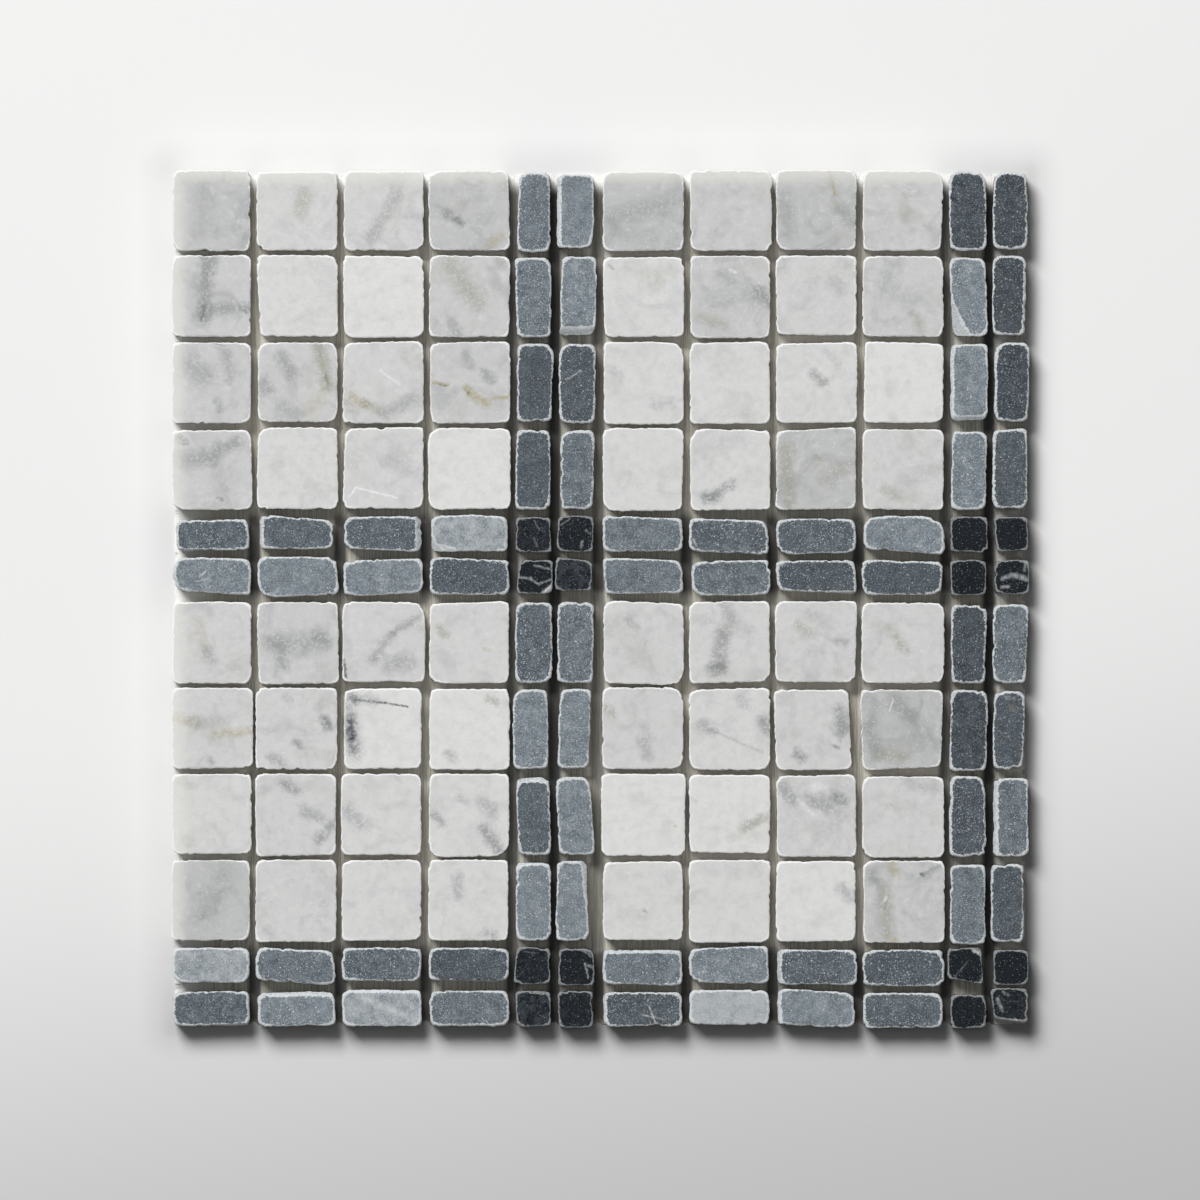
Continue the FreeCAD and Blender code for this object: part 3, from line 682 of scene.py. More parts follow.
# Veins and stains that stand out, by stone: the paint, where it starts and ends across and up the
# stone, in percent from its lower left corner, half its width, and its strength in percent
marks = {
    (1, 1): [("cloud", 66, 98, 66, 88, 1, 50), ("cloud", 42, 80, 38, 25, 4, 30),
             ("cloud", 90, 6, 96, 20, 2.2, 40)],
    (1, 2): [("olive", 60, 70, 54, 50, 3.2, 50)],
    (1, 3): [("cloud", 66, 71, 34, 14, 2.6, 45), ("cloud", 83, 46, 97, 40, 2.4, 40)],
    (1, 4): [("cloud", 22, 46, 25, 43, 2.2, 65), ("dark", 36, 37, 38, 35, 1.7, 75),
             ("ochre", 77, 8, 90, 18, 1.6, 60), ("olive", 88, 90, 96, 75, 1.6, 35)],
    (1, 7): [("cloud", 10, 42, 78, 60, 4.2, 45), ("cloud", 20, 22, 62, 16, 3.4, 30),
             ("cloud", 92, 96, 97, 62, 2.2, 30)],
    (1, 9): [("ochre", 66, 98, 73, 70, 1.1, 80), ("cloud", 10, 66, 16, 20, 3.4, 40),
             ("cloud", 78, 52, 96, 36, 2.4, 50), ("olive", 74, 68, 70, 50, 1.6, 40)],
    (1, 10): [("olive", 50, 58, 54, 44, 3, 30)],
    (2, 1): [("cloud", 44, 99, 40, 22, 3, 75), ("dark", 42, 40, 38, 21, 0.9, 70),
             ("cloud", 41, 32, 93, 36, 2.8, 65), ("cloud", 55, 97, 48, 80, 1.8, 50),
             ("dark", 86, 36, 95, 30, 0.8, 40)],
    (2, 4): [("olive", 24, 90, 60, 44, 4.2, 55), ("cloud", 84, 95, 92, 90, 1.8, 45),
             ("cloud", 28, 18, 36, 6, 2, 50)],
    (2, 7): [("cloud", 8, 90, 12, 86, 1.2, 50), ("olive", 50, 82, 66, 66, 3, 30)],
    (2, 8): [("cloud", 38, 80, 52, 70, 2.4, 45), ("cloud", 86, 58, 96, 44, 2.2, 75),
             ("olive", 10, 26, 42, 17, 2.2, 50), ("cloud", 28, 46, 72, 52, 5, 35),
             ("white", 50, 83, 56, 80, 0.9, 80)],
    (2, 9): [("cloud", 70, 66, 80, 56, 2.4, 40), ("cloud", 4, 80, 10, 92, 2, 30)],
    (2, 10): [("olive", 60, 28, 70, 18, 1.6, 45), ("cloud", 30, 62, 62, 44, 4.4, 25)],
    (3, 1): [("cloud", 22, 74, 42, 62, 4.2, 50), ("cloud", 68, 86, 74, 58, 2.4, 45),
             ("cloud", 56, 26, 60, 18, 1.6, 50), ("dark", 54, 99, 66, 96, 0.7, 50)],
    (3, 2): [("cloud", 30, 82, 44, 60, 2.8, 60), ("cloud", 8, 50, 14, 38, 2.4, 60),
             ("olive", 76, 96, 88, 46, 2.6, 80), ("ochre", 80, 34, 66, 12, 2.6, 35),
             ("cloud", 30, 20, 48, 10, 3, 45), ("dark", 84, 62, 88, 48, 0.8, 40)],
    (3, 3): [("ochre", 12, 33, 30, 22, 1.7, 75), ("olive", 28, 24, 44, 16, 2, 60),
             ("cloud", 56, 12, 90, 30, 2.8, 45), ("olive", 4, 26, 12, 16, 1.8, 50),
             ("white", 46, 64, 70, 48, 0.8, 60)],
    (3, 4): [("ochre", 2, 50, 23, 47, 1.2, 95), ("dark", 12, 48, 20, 46, 0.6, 70),
             ("ochre", 45, 43, 52, 35, 1.5, 95), ("dark", 44, 40, 49, 36, 0.6, 50),
             ("ochre", 58, 32, 70, 24, 1.6, 90), ("ochre", 78, 31, 97, 32, 1.2, 85),
             ("cloud", 44, 86, 50, 70, 1.8, 45), ("cloud", 68, 62, 76, 52, 2, 60)],
    (3, 7): [("cloud", 64, 24, 84, 26, 2.2, 42), ("cloud", 10, 66, 18, 58, 2.2, 40)],
    (3, 9): [("cloud", 46, 60, 58, 50, 1.8, 65), ("cloud", 62, 90, 78, 74, 1.6, 35)],
    (4, 1): [("cloud", 8, 88, 14, 84, 1.4, 95), ("cloud", 60, 76, 80, 84, 2.6, 70),
             ("cloud", 14, 62, 50, 66, 3.2, 60), ("cloud", 56, 15, 62, 12, 1, 80),
             ("cloud", 50, 60, 60, 28, 3.6, 30)],
    (4, 3): [("white", 7, 14, 16, 26, 0.5, 90), ("white", 16, 26, 67, 13, 0.55, 90),
             ("cloud", 60, 60, 76, 48, 3.4, 30)],
    (4, 8): [("cloud", 20, 16, 30, 16, 2.2, 95), ("cloud", 30, 20, 52, 33, 1.8, 65),
             ("cloud", 34, 80, 60, 90, 3, 25)],
    (4, 9): [("olive", 12, 74, 18, 10, 2.6, 65), ("olive", 60, 36, 94, 56, 2.4, 45),
             ("olive", 50, 66, 56, 60, 1.2, 50), ("cloud", 30, 36, 50, 12, 2.6, 30)],
    (4, 10): [("olive", 28, 26, 44, 16, 2, 50), ("cloud", 50, 36, 90, 52, 3, 25)],
    (7, 1): [("ochre", 34, 74, 42, 46, 2.2, 35), ("cloud", 44, 40, 50, 30, 2.4, 50)],
    (7, 2): [("cloud", 14, 52, 30, 44, 2.8, 55), ("cloud", 28, 30, 34, 22, 2.2, 60),
             ("cloud", 74, 58, 86, 50, 2.4, 60), ("cloud", 30, 50, 72, 52, 4.8, 50)],
    (7, 3): [("cloud", 37, 28, 60, 60, 1.7, 50), ("cloud", 60, 60, 96, 84, 1.4, 55),
             ("cloud", 58, 20, 80, 26, 3.2, 50), ("dark", 2, 27, 4, 6, 1.1, 95)],
    (7, 4): [("olive", 12, 66, 20, 60, 1.7, 60), ("ochre", 68, 42, 76, 40, 1.2, 45)],
    (7, 7): [("cloud", 32, 78, 38, 70, 1.6, 50), ("olive", 20, 70, 50, 30, 4, 25)],
    (7, 8): [("dark", 28, 18, 42, 20, 2.2, 60), ("cloud", 42, 62, 36, 20, 3, 75),
             ("cloud", 46, 96, 50, 80, 2.4, 45), ("cloud", 55, 75, 70, 62, 3, 30)],
    (7, 9): [("olive", 30, 70, 40, 60, 2.2, 50), ("cloud", 76, 50, 84, 48, 1.6, 50),
             ("cloud", 40, 86, 56, 80, 2, 35)],
    (7, 10): [("olive", 42, 58, 52, 42, 1.9, 55), ("olive", 18, 74, 34, 66, 1.8, 35)],
    (8, 1): [("ochre", 3, 64, 31, 57, 1.8, 60), ("ochre", 50, 43, 98, 47, 1.7, 60),
             ("cloud", 46, 12, 50, 8, 1.3, 60), ("cloud", 26, 58, 60, 60, 2.6, 40)],
    (8, 2): [("cloud", 84, 60, 89, 54, 1.9, 100), ("cloud", 50, 34, 54, 30, 1.5, 80),
             ("cloud", 20, 14, 30, 8, 2, 60), ("cloud", 36, 90, 42, 84, 1.4, 35)],
    (8, 3): [("dark", 15, 85, 52, 82, 0.75, 90), ("dark", 52, 82, 82, 77, 0.6, 100),
             ("dark", 10, 90, 16, 84, 1.5, 70), ("cloud", 12, 87, 42, 85, 1.8, 45),
             ("dark", 9, 62, 10, 26, 1.9, 90), ("cloud", 5, 80, 16, 20, 3, 50),
             ("ink", 8, 54, 10, 36, 1.3, 90)],
    (8, 4): [("olive", 74, 88, 82, 84, 1.6, 60), ("cloud", 22, 20, 30, 14, 1.7, 50)],
    (8, 7): [("olive", 5, 74, 12, 68, 1.7, 55), ("cloud", 50, 34, 56, 18, 2.4, 50),
             ("cloud", 52, 50, 58, 36, 1.8, 35)],
    (8, 8): [("cloud", 14, 56, 28, 50, 2.4, 50), ("cloud", 92, 60, 97, 48, 2.2, 75),
             ("cloud", 24, 50, 90, 22, 0.9, 40), ("cloud", 62, 86, 70, 80, 2, 40)],
    (8, 9): [("cloud", 84, 74, 86, 46, 2.4, 75), ("dark", 77, 30, 83, 28, 1.2, 65),
             ("cloud", 28, 21, 36, 16, 1.8, 80), ("cloud", 90, 60, 94, 50, 1.4, 50)],
    (8, 10): [("cloud", 44, 84, 60, 66, 3.4, 65), ("cloud", 12, 56, 18, 22, 3.2, 60),
              ("olive", 26, 20, 50, 16, 2.6, 60), ("cloud", 50, 40, 80, 36, 5, 30),
              ("white", 39, 88, 36, 74, 0.5, 70)],
    (9, 1): [("olive", 10, 92, 26, 86, 1.8, 30), ("olive", 14, 20, 20, 12, 1.6, 30)],
    (9, 2): [("cloud", 38, 88, 50, 80, 2.2, 75), ("cloud", 60, 56, 78, 46, 2.2, 55),
             ("cloud", 78, 20, 94, 38, 2, 70), ("white", 70, 44, 88, 30, 1.2, 40)],
    (9, 3): [("cloud", 8, 54, 26, 38, 2.8, 50)],
    (9, 4): [("cloud", 6, 52, 14, 42, 1.6, 65), ("cloud", 66, 66, 80, 56, 2.4, 50),
             ("cloud", 70, 32, 88, 8, 2.2, 80), ("cloud", 38, 72, 46, 66, 1.4, 40)],
    (9, 7): [("ochre", 88, 36, 90, 35, 0.9, 60), ("cloud", 40, 70, 56, 66, 2.2, 25)],
    (9, 8): [("olive", 70, 32, 92, 46, 2, 70), ("olive", 4, 70, 8, 66, 1.2, 40)],
    (9, 9): [("cloud", 8, 84, 20, 70, 2.6, 70), ("cloud", 42, 70, 62, 60, 2.6, 65),
             ("dark", 72, 73, 84, 68, 2, 60), ("white", 26, 70, 46, 52, 1.2, 50),
             ("white", 50, 86, 60, 84, 1.6, 50), ("cloud", 60, 30, 80, 50, 3.6, 30)],
    (9, 10): [("cloud", 60, 92, 86, 86, 2.4, 40), ("olive", 36, 66, 40, 60, 1.2, 35)],
    (10, 1): [("cloud", 40, 30, 66, 80, 6, 35)],
    (10, 2): [("cloud", 14, 14, 20, 8, 1.6, 40)],
    (10, 4): [("cloud", 37, 78, 38, 56, 2, 50), ("cloud", 74, 10, 82, 6, 1.8, 55)],
    (10, 7): [("olive", 51, 38, 55, 35, 1, 60)],
    (10, 9): [("cloud", 84, 66, 96, 54, 2.6, 50)],
    (10, 10): [("ochre", 32, 97, 40, 86, 1.7, 60), ("ochre", 34, 8, 40, 2, 1.6, 65),
               ("dark", 71, 84, 74, 82, 1.1, 100), ("cloud", 74, 83, 95, 93, 1.3, 65),
               ("olive", 26, 66, 28, 14, 2.6, 60), ("brown", 27, 46, 29, 38, 1.5, 30),
               ("cloud", 8, 86, 14, 74, 1.8, 60), ("white", 28, 56, 26, 52, 0.9, 80)],
    (5, 4): [("white", 10, 20, 30, 8, 1.2, 50)],
    (5, 8): [("white", 6, 40, 9, 26, 0.8, 60)],
    (6, 1): [("white", 34, 50, 42, 62, 0.8, 50), ("white", 30, 36, 46, 44, 0.7, 40)],
    (6, 8): [("dark", 20, 35, 24, 2, 0.6, 70), ("dark", 58, 86, 62, 66, 0.6, 60)],
    (3, 6): [("white", 18, 55, 60, 66, 0.5, 40)],
    (8, 12): [("brown", 58, 80, 74, 76, 2, 90), ("pale", 40, 92, 66, 90, 1.4, 50)],
    (12, 3): [("white", 20, 84, 90, 20, 2.4, 30), ("cloud", 30, 30, 60, 10, 2, 40)],
    (12, 8): [("cloud", 30, 70, 62, 30, 4, 16), ("cloud", 74, 60, 90, 30, 3, 12)],
    (12, 7): [("white", 58, 60, 66, 10, 0.6, 50), ("white", 50, 34, 78, 20, 0.5, 40)],
    (5, 6): [("pale", 6, 72, 34, 92, 0.6, 50), ("pale", 66, 12, 70, 30, 1, 60),
             ("pale", 80, 60, 92, 50, 0.9, 50)],
    (5, 5): [("pale", 52, 92, 66, 66, 0.7, 40), ("pale", 50, 40, 60, 20, 0.9, 35)],
    (6, 5): [("pale", 8, 50, 40, 46, 1, 75), ("pale", 40, 46, 62, 28, 1, 85),
             ("pale", 62, 30, 98, 42, 0.9, 85), ("pale", 50, 84, 94, 72, 0.8, 75),
             ("white", 74, 4, 97, 24, 1.3, 80)],
    (6, 12): [("pale", 22, 46, 50, 56, 1.6, 95), ("pale", 50, 56, 92, 46, 1.9, 95),
              ("pale", 20, 20, 40, 22, 1.2, 90), ("pale", 86, 70, 90, 92, 1.1, 90)],
    (11, 6): [("pale", 66, 96, 92, 78, 0.8, 80), ("pale", 92, 50, 74, 56, 0.9, 80),
              ("pale", 74, 56, 84, 20, 0.7, 70)],
    (11, 11): [("white", 74, 92, 90, 86, 1, 80), ("pale", 16, 12, 56, 60, 0.6, 35)],
    (11, 5): [("pale", 20, 90, 60, 84, 0.5, 30)],
    (12, 12): [("pale", 16, 70, 30, 34, 1.3, 75), ("white", 22, 10, 70, 6, 0.6, 70),
               ("pale", 30, 90, 46, 80, 1, 50)],
    (12, 5): [("white", 40, 96, 80, 92, 0.6, 50)],
}

markLook = {  # pairs are for dark stones and for white ones
    "shakeReach": (1.5, 4.6),  # how far a mark wanders
    "shake": ((1.6, 4, 0.65), (3.2, 4, 0.65)),
    "spread": ((0.8, 0.0), (1.5, 0.4)),  # the drawn half width: so many times the noted one, and more
    "thinBelow": 1.25,  # a thin line on a white stone wanders less
    "thinSpread": (0.9, 0.1),
    "calm": 0.3,
    "fine": (1.3, 3, 0.7),
    "patchy": (0.36, 0.62, 0.4, 1.0),
    "threaded": ("cloud", "olive"),  # paints with thin darker threads inside
    "threadedAbove": 0.44,
    "threads": (0.5, 0.05, 0.0),  # the fine pattern's middle value, and how far round it they show
    "threadStrength": 0.5,
}


def stoneBoxes():
    # Each stone's lowest and highest corner, by row and column
    boxes = {}
    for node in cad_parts:
        if "_row_" in node:
            row, first = stonePlaces(node)
            for column, (points, _) in enumerate(splitStones(node), start=first):
                boxes[row, column] = points.min(axis=0), points.max(axis=0)
    return boxes


def addMarks(tree, place, colour, node, use=markLook):
    # Lay each noted vein or stain of this node's stones over the colour. Their place is shaken by
    # noise, so they wander, and it has no height, so they run down the sides.
    row, first = stonePlaces(node)
    noted = [(stone, mark) for stone in sorted(marks) if stone[0] == row and first <= stone[1] < first + 4
             for mark in marks[stone]]
    if not noted:
        return colour
    white = kindOf(node) == "white"
    reach = use["shakeReach"][white]
    shake = grain(tree, place, *use["shake"][white]).node.outputs["Color"]
    shaken = vectorMath(tree, "MULTIPLY_ADD", shake, (reach, reach, 0), (-reach / 2, -reach / 2, 0))
    flat = vectorMath(tree, "MULTIPLY", vectorMath(tree, "ADD", place, shaken), (1, 1, 0))
    fine = grain(tree, place, *use["fine"])
    patchy = between(tree, fine, *use["patchy"])
    calm = mixColour(tree, use["calm"], vectorMath(tree, "MULTIPLY", place, (1, 1, 0)), flat)
    thread = near(tree, fine, *use["threads"])
    for stone, (paint, *ends, width, percent) in noted:
        low, high = boxes[stone]
        strength = percent / 100
        streak = tree.nodes.new("ShaderNodeGroup")
        streak.node_tree = marking
        thin = white and width < use["thinBelow"]
        wider, more = use["thinSpread"] if thin else use["spread"][white]
        tree.links.new(calm if thin else flat, streak.inputs["Place"])
        for name, (u, v) in (("From", ends[:2]), ("To", ends[2:])):
            corner = (low[0] + u / 100 * (high[0] - low[0]), low[1] + v / 100 * (high[1] - low[1]), 0)
            streak.inputs[name].default_value = corner
        streak.inputs["Width"].default_value = width * wider + more
        colour = tint(tree, colour, paints[paint], streak.outputs[0], patchy, strength)
        if paint in use["threaded"] and strength > use["threadedAbove"]:
            amounts = streak.outputs[0], thread, strength * use["threadStrength"]
            colour = tint(tree, colour, paints["vein"], *amounts)
    return colour


def rimAmount(tree, spot, edge, use):
    # The frosted rim: full on the worn arris, and ragged where it meets the face
    torn = grain(tree, spot, *rimLook["torn"])
    reach = calculate(tree, "MULTIPLY_ADD", torn, use["rimRagged"] * 2, use["rimReach"] - use["rimRagged"])
    inner = calculate(tree, "ADD", reach, rimLook["softness"])
    outer = calculate(tree, "SUBTRACT", reach, rimLook["softness"])
    frost = between(tree, grain(tree, spot, *rimLook["frost"]), *rimLook["frostFade"])
    deep = between(tree, edge, *rimLook["chipFade"])
    return product(tree, between(tree, edge, inner, outer), frost, deep, use["rimStrength"])


def startMarble(node, marble):
    # A new material for a node's stones, named for their rows, with what all three marbles read
    kind = "" if "squares" in node else node.split("_")[0].capitalize()
    material, tree = newMaterial(marble + kind + node.split("_row_")[1].replace("_", ""))
    place = inMillimetres(tree)
    return material, tree, place, ownPlace(tree, place), attribute(tree, "tone"), attribute(tree, "edge")


def frostSides(tree, colour, body, edge, clouds, use):
    # The sides keep a thin frost
    frosted = tint(tree, body, use["rim"], between(tree, clouds, *use["sideFrost"]))
    return tint(tree, colour, frosted, between(tree, edge, *rimLook["sideFade"]))


def whiteMarble(node, use):
    material, tree, place, spot, tone, edge = startMarble(node, "whiteMarble")
    body = mixColour(tree, tone, use["grey"], use["pale"])
    clouds = between(tree, grain(tree, spot, *use["clouds"]), *use["cloudFade"])
    lessened = calculate(tree, "MULTIPLY_ADD", tone, *use["cloudByTone"])
    body = tint(tree, body, use["cloud"], clouds, lessened)
    mottle = grain(tree, spot, *use["mottle"])
    body = tint(tree, body, use["cloud"], between(tree, mottle, *use["mottleDark"]))
    body = tint(tree, body, use["pale"], between(tree, mottle, *use["mottlePale"]))
    warm = between(tree, grain(tree, spot, *use["warm"]), *use["warmFade"])
    body = tint(tree, body, paints["olive"], warm)
    body = addMarks(tree, place, body, node)
    gathered = between(tree, grain(tree, spot, *use["speckPatches"]), *use["speckFade"])
    *specks, strength = use["specks"]
    body = tint(tree, body, use["rim"], dots(tree, place, *specks), gathered, strength)
    # Painted light: the stones along the sheet's upper and left edges, on the side the light comes from, are
    # painted a paler cream there
    across = parts(tree, place)
    left = between(tree, across["X"], *(filmLow.x / mm + inwards for inwards in use["creamLeft"]))
    upper = between(tree, across["Y"], *(filmHigh.y / mm - inwards for inwards in use["creamUpper"]))
    body = tint(tree, body, use["cream"], largest(tree, left, upper), use["creamStrength"])
    colour = tint(tree, body, use["rim"], rimAmount(tree, spot, edge, use))
    side = between(tree, edge, *rimLook["sideFade"], 0.0, use["sideStrength"])
    finish(tree, tint(tree, colour, body, side), use, grain(tree, place, *use["bumps"]))
    return material


def greyMarble(node, use):
    material, tree, place, spot, tone, edge = startMarble(node, "greyMarble")
    clouds = grain(tree, spot, *use["clouds"])
    toned = calculate(tree, "ADD", tone, between(tree, clouds, *use["cloudShift"]))
    shade = tree.nodes.new("ShaderNodeValToRGB")
    tree.links.new(toned, shade.inputs[0])
    for i, (at, colour) in enumerate(use["tones"]):
        stop = shade.color_ramp.elements[i] if i < 2 else shade.color_ramp.elements.new(at)
        stop.position = at
        stop.color = (*colour, 1)
    body = addMarks(tree, place, shade.outputs[0], node)
    # Fine grain and flecks, with more of them on some stones and in some places
    fine = grain(tree, place, *use["fine"])
    grainy = calculate(tree, "MULTIPLY_ADD", tone, *use["fineByTone"])
    body = tint(tree, body, use["fleck"], between(tree, fine, *use["fineFade"]), grainy)
    patches = between(tree, grain(tree, spot, *use["fleckPatches"]), *use["fleckPatchFade"])
    amount = calculate(tree, "MULTIPLY_ADD", attribute(tree, "flecks"), *use["fleckRange"])
    amount = product(tree, amount, between(tree, tone, *use["fleckToneFade"]))
    for *flecks, strength in use["flecks"]:
        body = tint(tree, body, use["fleck"], dots(tree, place, *flecks), patches, amount, strength)
    colour = tint(tree, body, use["rim"], rimAmount(tree, spot, edge, use))
    colour = frostSides(tree, colour, body, edge, clouds, use)
    # Glue creeps up the foot
    highest, lowest = use["glueReach"]
    height = parts(tree, place)["Z"]
    glue = between(tree, height, filmTop + highest, filmTop + lowest, 0.0, use["glueStrength"])
    finish(tree, tint(tree, colour, film["streak"], glue), use, fine)
    return material


def blackMarble(node, use):
    material, tree, place, spot, tone, edge = startMarble(node, "blackMarble")
    clouds = grain(tree, spot, *use["clouds"])
    body = tint(tree, use["face"], use["cloud"], between(tree, clouds, *use["cloudFade"]), tone)
    body = addMarks(tree, place, body, node)
    fine = grain(tree, place, *use["fine"])
    body = tint(tree, body, use["fleck"], between(tree, fine, *use["fineFade"]))
    *flecks, strength = use["flecks"]
    body = tint(tree, body, use["fleck"], dots(tree, place, *flecks), strength)
    colour = tint(tree, body, use["rim"], rimAmount(tree, spot, edge, use))
    finish(tree, frostSides(tree, colour, body, edge, clouds, use), use, fine)
    return material


# The backing: a dried glue film with a woven net in it

film = {
    "colour": (0.80, 0.76, 0.655),
    "streak": (0.50, 0.475, 0.41),
    "fibres": (0.5, 3, 0.62),
    "fibreStretch": (1, 0.035, 1),
    "fibreFade": (0.36, 0.64),
    "pools": (9, 2),
    "poolFade": (0.35, 0.7, 0.0, 0.4),
    "level": (0.97, 0.925, 0.82),  # painted light in level joints between white squares
    "levelFade": (2.4, 1.2),  # from the middle of the joint
    "levelStrength": 0.85,
    "crossings": {5: 11, 11: 14},  # how far it stays clear of an upright joint, over both of a pair
    "crossingReach": 2,  # and of the others
    "crossingFade": (1.5, -0.5),
    "lit": (0.95, 0.94, 0.905),  # painted light at the sheet's edges, where light reaches in
    "litLeft": (15, 3),  # inwards from each edge
    "litUpper": (8, 2),
    "litRight": (12, 8),
    "litPatches": (5, 2),
    "litPatchFade": (0.40, 0.56, 0.0, 0.8),
    "litStrength": 0.9,
    "dark": (0.030, 0.030, 0.033),  # painted shade between paired uprights
    "uprights": ((4, 0.6), (5, 0.93), (6, 0.6), (10, 0.65), (11, 0.95)),  # column on the left, strength
    "uprightFade": (3.6, 1.3),
    "bandFade": (3.0, -3.5),  # outwards from the bands of level sticks
    "seamFade": (3.2, 1.4),
    "seamStrength": 0.9,
    "standBelow": 0.1,  # under the tops of the threads
    "under": 0.06,  # above the lowest threads
    "roughness": 0.6,
    "gloss": 0.25,
    "bumpDepth": 0.12,
}

net = {
    "spacing": 4.73,  # from thread to thread
    "thread": 0.36,
    "wander": 0.3,
    "waves": 60.0,  # to a metre
    "shortest": 0.994,  # of the sheet's side
    "step": 6.0,
    "sides": 6,
    "seed": 5,
    "colour": (0.88, 0.86, 0.78),
    "fibres": (0.35, 1, 0.7),
    "fibreFade": (0.3, 0.7, 0.0, 0.45),
    # painted light on the threads near the sheet's edges
    "lit": (0.92, 0.91, 0.88),
    "litStrength": 0.8,
    "roughness": 0.6,
    "gloss": 0.25,
    "bumpDepth": 0.1,
}

filmTop = filmHigh.z / mm - film["standBelow"]


def paintedLightNearEdges(tree, place, use):
    # How near the sheet's left, upper or right edge a place is, from 0 inside to 1 at the edge, for the
    # painted light there
    across = parts(tree, place)
    left = between(tree, across["X"], *(filmLow.x / mm + inwards for inwards in use["litLeft"]))
    upper = between(tree, across["Y"], *(filmHigh.y / mm - inwards for inwards in use["litUpper"]))
    right = between(tree, across["X"], *(filmHigh.x / mm - inwards for inwards in use["litRight"]))
    patches = between(tree, grain(tree, place, *use["litPatches"]), *use["litPatchFade"])
    return largest(tree, left, upper, product(tree, right, patches))


def seamAt(column):
    # Where the joint to the right of a column of stones runs
    rows = (1, 2, 3, 4, 7, 8, 9, 10)
    return float(np.mean([(boxes[row, column][1][0] + boxes[row, column + 1][0][0]) / 2 for row in rows]))


def paintedShadeBesideSticks(tree, place, use):
    # Painted shade: the upright joints beside the sticks are painted darker, and nearly black between two
    # upright ones
    across = parts(tree, place)
    found = []
    for column, strength in use["uprights"]:
        found.append(near(tree, across["X"], seamAt(column), *use["uprightFade"], strength))
    bands = []
    for row in (5, 11):
        low, high = boxes[row + 1, 2][0][1], boxes[row, 2][1][1]
        middle, half = float(low + high) / 2, float(high - low) / 2
        bands.append(near(tree, across["Y"], middle, *(half + outwards for outwards in use["bandFade"])))
    # painted shade where the upright joints between white squares cross the bands of level sticks
    seams = []
    for column in range(1, 11):
        if column != 5:
            seams.append(near(tree, across["X"], seamAt(column), *use["seamFade"]))
    crossed = product(tree, largest(tree, *bands), largest(tree, *seams), use["seamStrength"])
    return largest(tree, *found, crossed)


def paintedLightLevelJoints(tree, place, use):
    # Painted light: the level joints between white squares, where the film is painted paler
    across = parts(tree, place)
    found = []
    for row in (1, 2, 3, 7, 8, 9):
        middle = float(boxes[row, 2][0][1] + boxes[row + 1, 2][1][1]) / 2
        found.append(near(tree, across["Y"], middle, *use["levelFade"]))
    crossings = []
    for column in range(1, 12):
        reach = use["crossings"].get(column, use["crossingReach"])
        fade = (reach + outwards for outwards in use["crossingFade"])
        crossings.append(near(tree, across["X"], seamAt(column), *fade))
    clear = calculate(tree, "SUBTRACT", 1.0, largest(tree, *crossings))
    return product(tree, largest(tree, *found), clear)


def filmMaterial(use):
    material, tree = newMaterial("glueFilm")
    place = inMillimetres(tree)
    fibres = grain(tree, inMillimetres(tree, use["fibreStretch"]), *use["fibres"])
    pools = between(tree, grain(tree, place, *use["pools"]), *use["poolFade"])
    colour = mixColour(tree, between(tree, fibres, *use["fibreFade"]), use["streak"], use["colour"])
    colour = tint(tree, colour, use["streak"], pools)
    colour = tint(tree, colour, use["level"], paintedLightLevelJoints(tree, place, use), use["levelStrength"])
    colour = tint(tree, colour, use["dark"], paintedShadeBesideSticks(tree, place, use))
    # Painted light on the film near the sheet's edges
    colour = tint(tree, colour, use["lit"], paintedLightNearEdges(tree, place, use), use["litStrength"])
    finish(tree, colour, use, fibres)
    return material


def threadMaterial(use):
    material, tree = newMaterial("wovenThread")
    place = inMillimetres(tree)
    fibres = grain(tree, place, *use["fibres"])
    colour = mixColour(tree, between(tree, fibres, *use["fibreFade"]), use["colour"], film["streak"])
    # Painted shade beside the sticks and painted light near the sheet's edges, as on the film
    colour = tint(tree, colour, film["dark"], paintedShadeBesideSticks(tree, place, film))
    colour = tint(tree, colour, use["lit"], paintedLightNearEdges(tree, place, film), use["litStrength"])
    finish(tree, colour, use, fibres)
    return material


def makeFilm(use):
    shell = mergedShell("mesh_backing")
    middle = (filmLow.z + filmHigh.z) / 2
    for vert in shell.verts:
        vert.co.z = filmTop * mm if vert.co.z > middle else filmLow.z + use["under"] * mm
    mesh = bpy.data.meshes.new("glueFilm")
    shell.to_mesh(mesh)
    shell.free()
    mesh.materials.append(filmMaterial(use))
    return addObject("glueFilm", mesh)


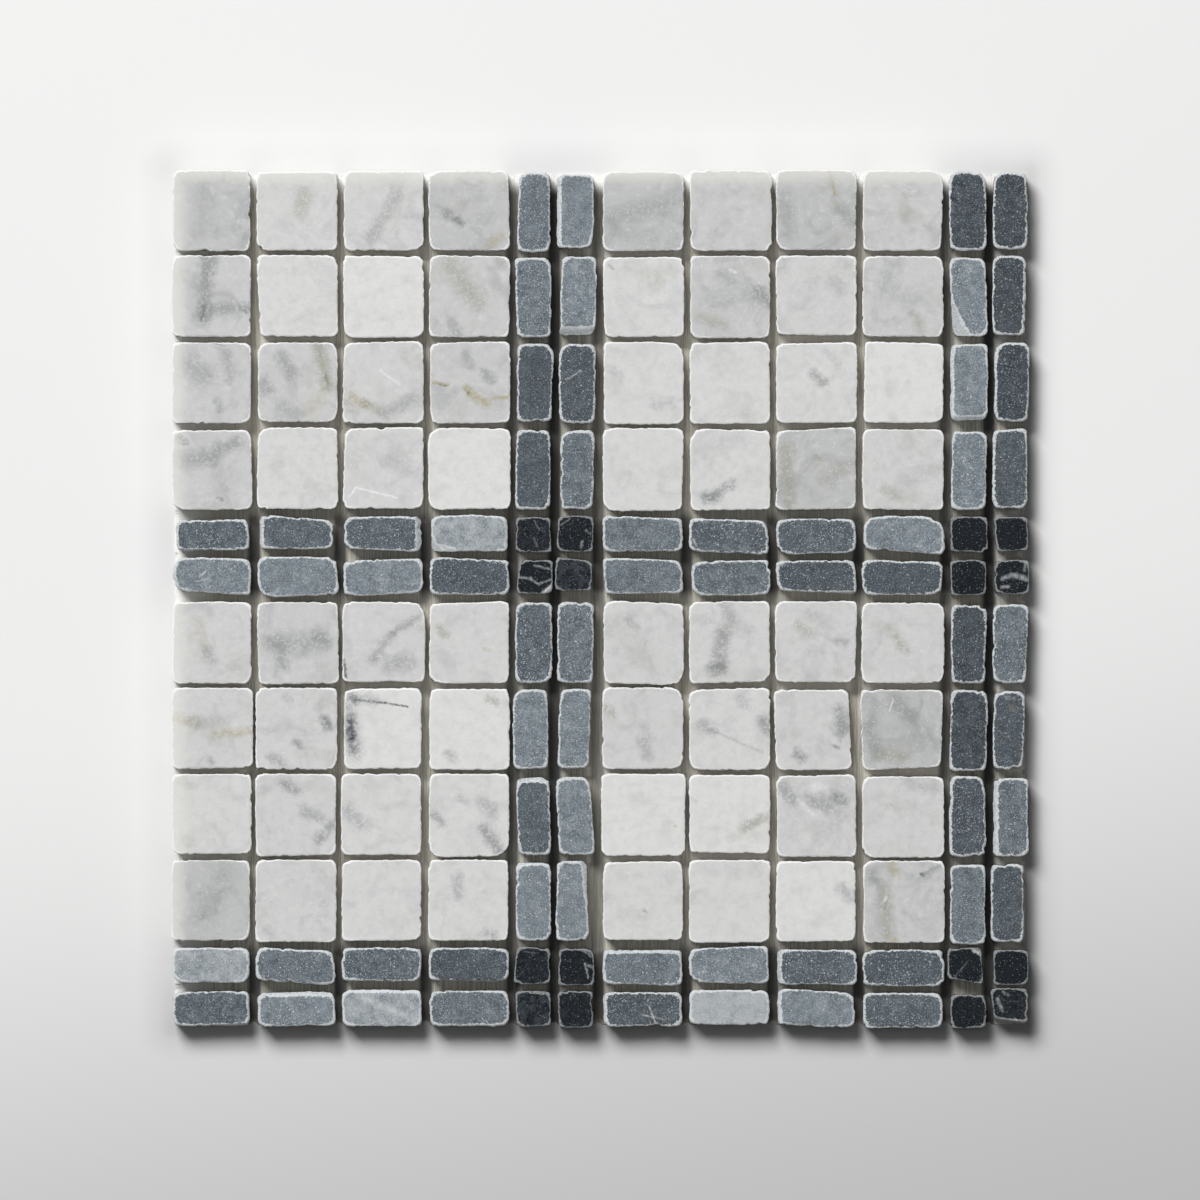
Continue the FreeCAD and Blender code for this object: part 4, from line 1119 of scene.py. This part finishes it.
def netTree(material, use):
    # Two layers of threads at even spacing, each one wandering a little
    tree = bpy.data.node_groups.new("net", "GeometryNodeTree")
    for name in ("Side", "Spacing", "Thread", "Wander", "Step", "Upper", "Lower"):
        tree.interface.new_socket(name, in_out="INPUT", socket_type="NodeSocketFloat")
    for name in ("Sides", "Seed"):
        tree.interface.new_socket(name, in_out="INPUT", socket_type="NodeSocketInt")
    tree.interface.new_socket("Geometry", in_out="OUTPUT", socket_type="NodeSocketGeometry")
    given = tree.nodes.new("NodeGroupInput").outputs
    result = tree.nodes.new("NodeGroupOutput")

    halfSide = product(tree, given["Side"], 0.5)
    count = calculate(tree, "FLOOR", calculate(tree, "DIVIDE", given["Side"], given["Spacing"]))
    gaps = calculate(tree, "SUBTRACT", count, 1.0)
    firstAt = product(tree, gaps, given["Spacing"], -0.5)
    points = calculate(tree, "FLOOR", calculate(tree, "DIVIDE", given["Side"], given["Step"]))
    layers = []
    for turned, level in ((0.0, given["Upper"]), (math.pi / 2, given["Lower"])):
        start, offset = vectorOf(tree, X=firstAt), vectorOf(tree, X=given["Spacing"])
        inputs = {"Count": count, "Start Location": start, "Offset": offset}
        row = addNode(tree, "GeometryNodeMeshLine", inputs)
        low, high = vectorOf(tree, Y=product(tree, halfSide, -1.0)), vectorOf(tree, Y=halfSide)
        line = addNode(tree, "GeometryNodeCurvePrimitiveLine", {"Start": low, "End": high})
        line = addNode(tree, "GeometryNodeResampleCurve", {"Curve": line, "Count": points})
        trims = {"Min": (1, use["shortest"], 1), "Max": (1, 1, 1), "Seed": given["Seed"]}
        trimmed = addNode(tree, "FunctionNodeRandomValue", trims, data_type="FLOAT_VECTOR")
        inputs = {"Points": row, "Instance": line, "Scale": trimmed}
        rows = addNode(tree, "GeometryNodeInstanceOnPoints", inputs)
        curves = addNode(tree, "GeometryNodeRealizeInstances", {"Geometry": rows})
        position = addNode(tree, "GeometryNodeInputPosition", {})
        inputs = {"Vector": position, "W": turned, "Scale": use["waves"], "Detail": 1.0}
        waves = addNode(tree, "ShaderNodeTexNoise", inputs, noise_dimensions="4D")
        sideways = product(tree, calculate(tree, "SUBTRACT", waves, 0.5), given["Wander"])
        moved = vectorOf(tree, X=sideways, Z=level)
        curves = addNode(tree, "GeometryNodeSetPosition", {"Geometry": curves, "Offset": moved})
        inputs = {"Resolution": given["Sides"], "Radius": product(tree, given["Thread"], 0.5)}
        profile = addNode(tree, "GeometryNodeCurvePrimitiveCircle", inputs)
        inputs = {"Curve": curves, "Profile Curve": profile, "Fill Caps": True}
        tubes = addNode(tree, "GeometryNodeCurveToMesh", inputs)
        inputs = {"Geometry": tubes, "Rotation": (0.0, 0.0, turned)}
        layers.append(addNode(tree, "GeometryNodeTransform", inputs))
    joined = tree.nodes.new("GeometryNodeJoinGeometry")
    for layer in layers:
        tree.links.new(layer, joined.inputs[0])
    whole = addNode(tree, "GeometryNodeRealizeInstances", {"Geometry": joined.outputs[0]})
    finished = addNode(tree, "GeometryNodeSetMaterial", {"Geometry": whole, "Material": material})
    tree.links.new(finished, result.inputs[0])
    return tree


def makeNet(use):
    maker = addObject("netMaker", bpy.data.meshes.new("netMaker"))
    weave = maker.modifiers.new("net", "NODES")
    weave.node_group = netTree(threadMaterial(use), use)
    radius = use["thread"] / 2
    sizes = {
        "Side": filmHigh.x - filmLow.x,
        "Spacing": use["spacing"] * mm,
        "Thread": use["thread"] * mm,
        "Wander": use["wander"] * mm,
        "Step": use["step"] * mm,
        "Upper": filmHigh.z - radius * mm,
        "Lower": filmLow.z + radius * mm,
        "Sides": use["sides"],
        "Seed": use["seed"],
    }
    for socket in weave.node_group.interface.items_tree:
        if socket.name in sizes:
            weave[socket.identifier] = sizes[socket.name]
    seen = maker.evaluated_get(bpy.context.evaluated_depsgraph_get())
    mesh = bpy.data.meshes.new_from_object(seen)
    bpy.data.objects.remove(maker)
    return addObject("wovenNet", mesh)


print("stage: stones")
marking = markGroup()
boxes = stoneBoxes()
finishes = {
    "white": (whiteMarble, whiteLook, "white_marble"),
    "grey": (greyMarble, greyLook, "grey_marble"),
    "black": (blackMarble, blackLook, "black_marble"),
}
for node in sorted(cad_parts):
    if "_row_" in node:
        makeMaterial, look, slot = finishes[kindOf(node)]
        piece = dressNode(node, makeMaterial(node, look), stoneMesh)
        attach(piece, "root")
        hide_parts(node)

print("stage: backing film and net")
for piece in (makeFilm(film), makeNet(net)):
    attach(piece, "root")
    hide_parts("mesh_backing")

print("stage: done")
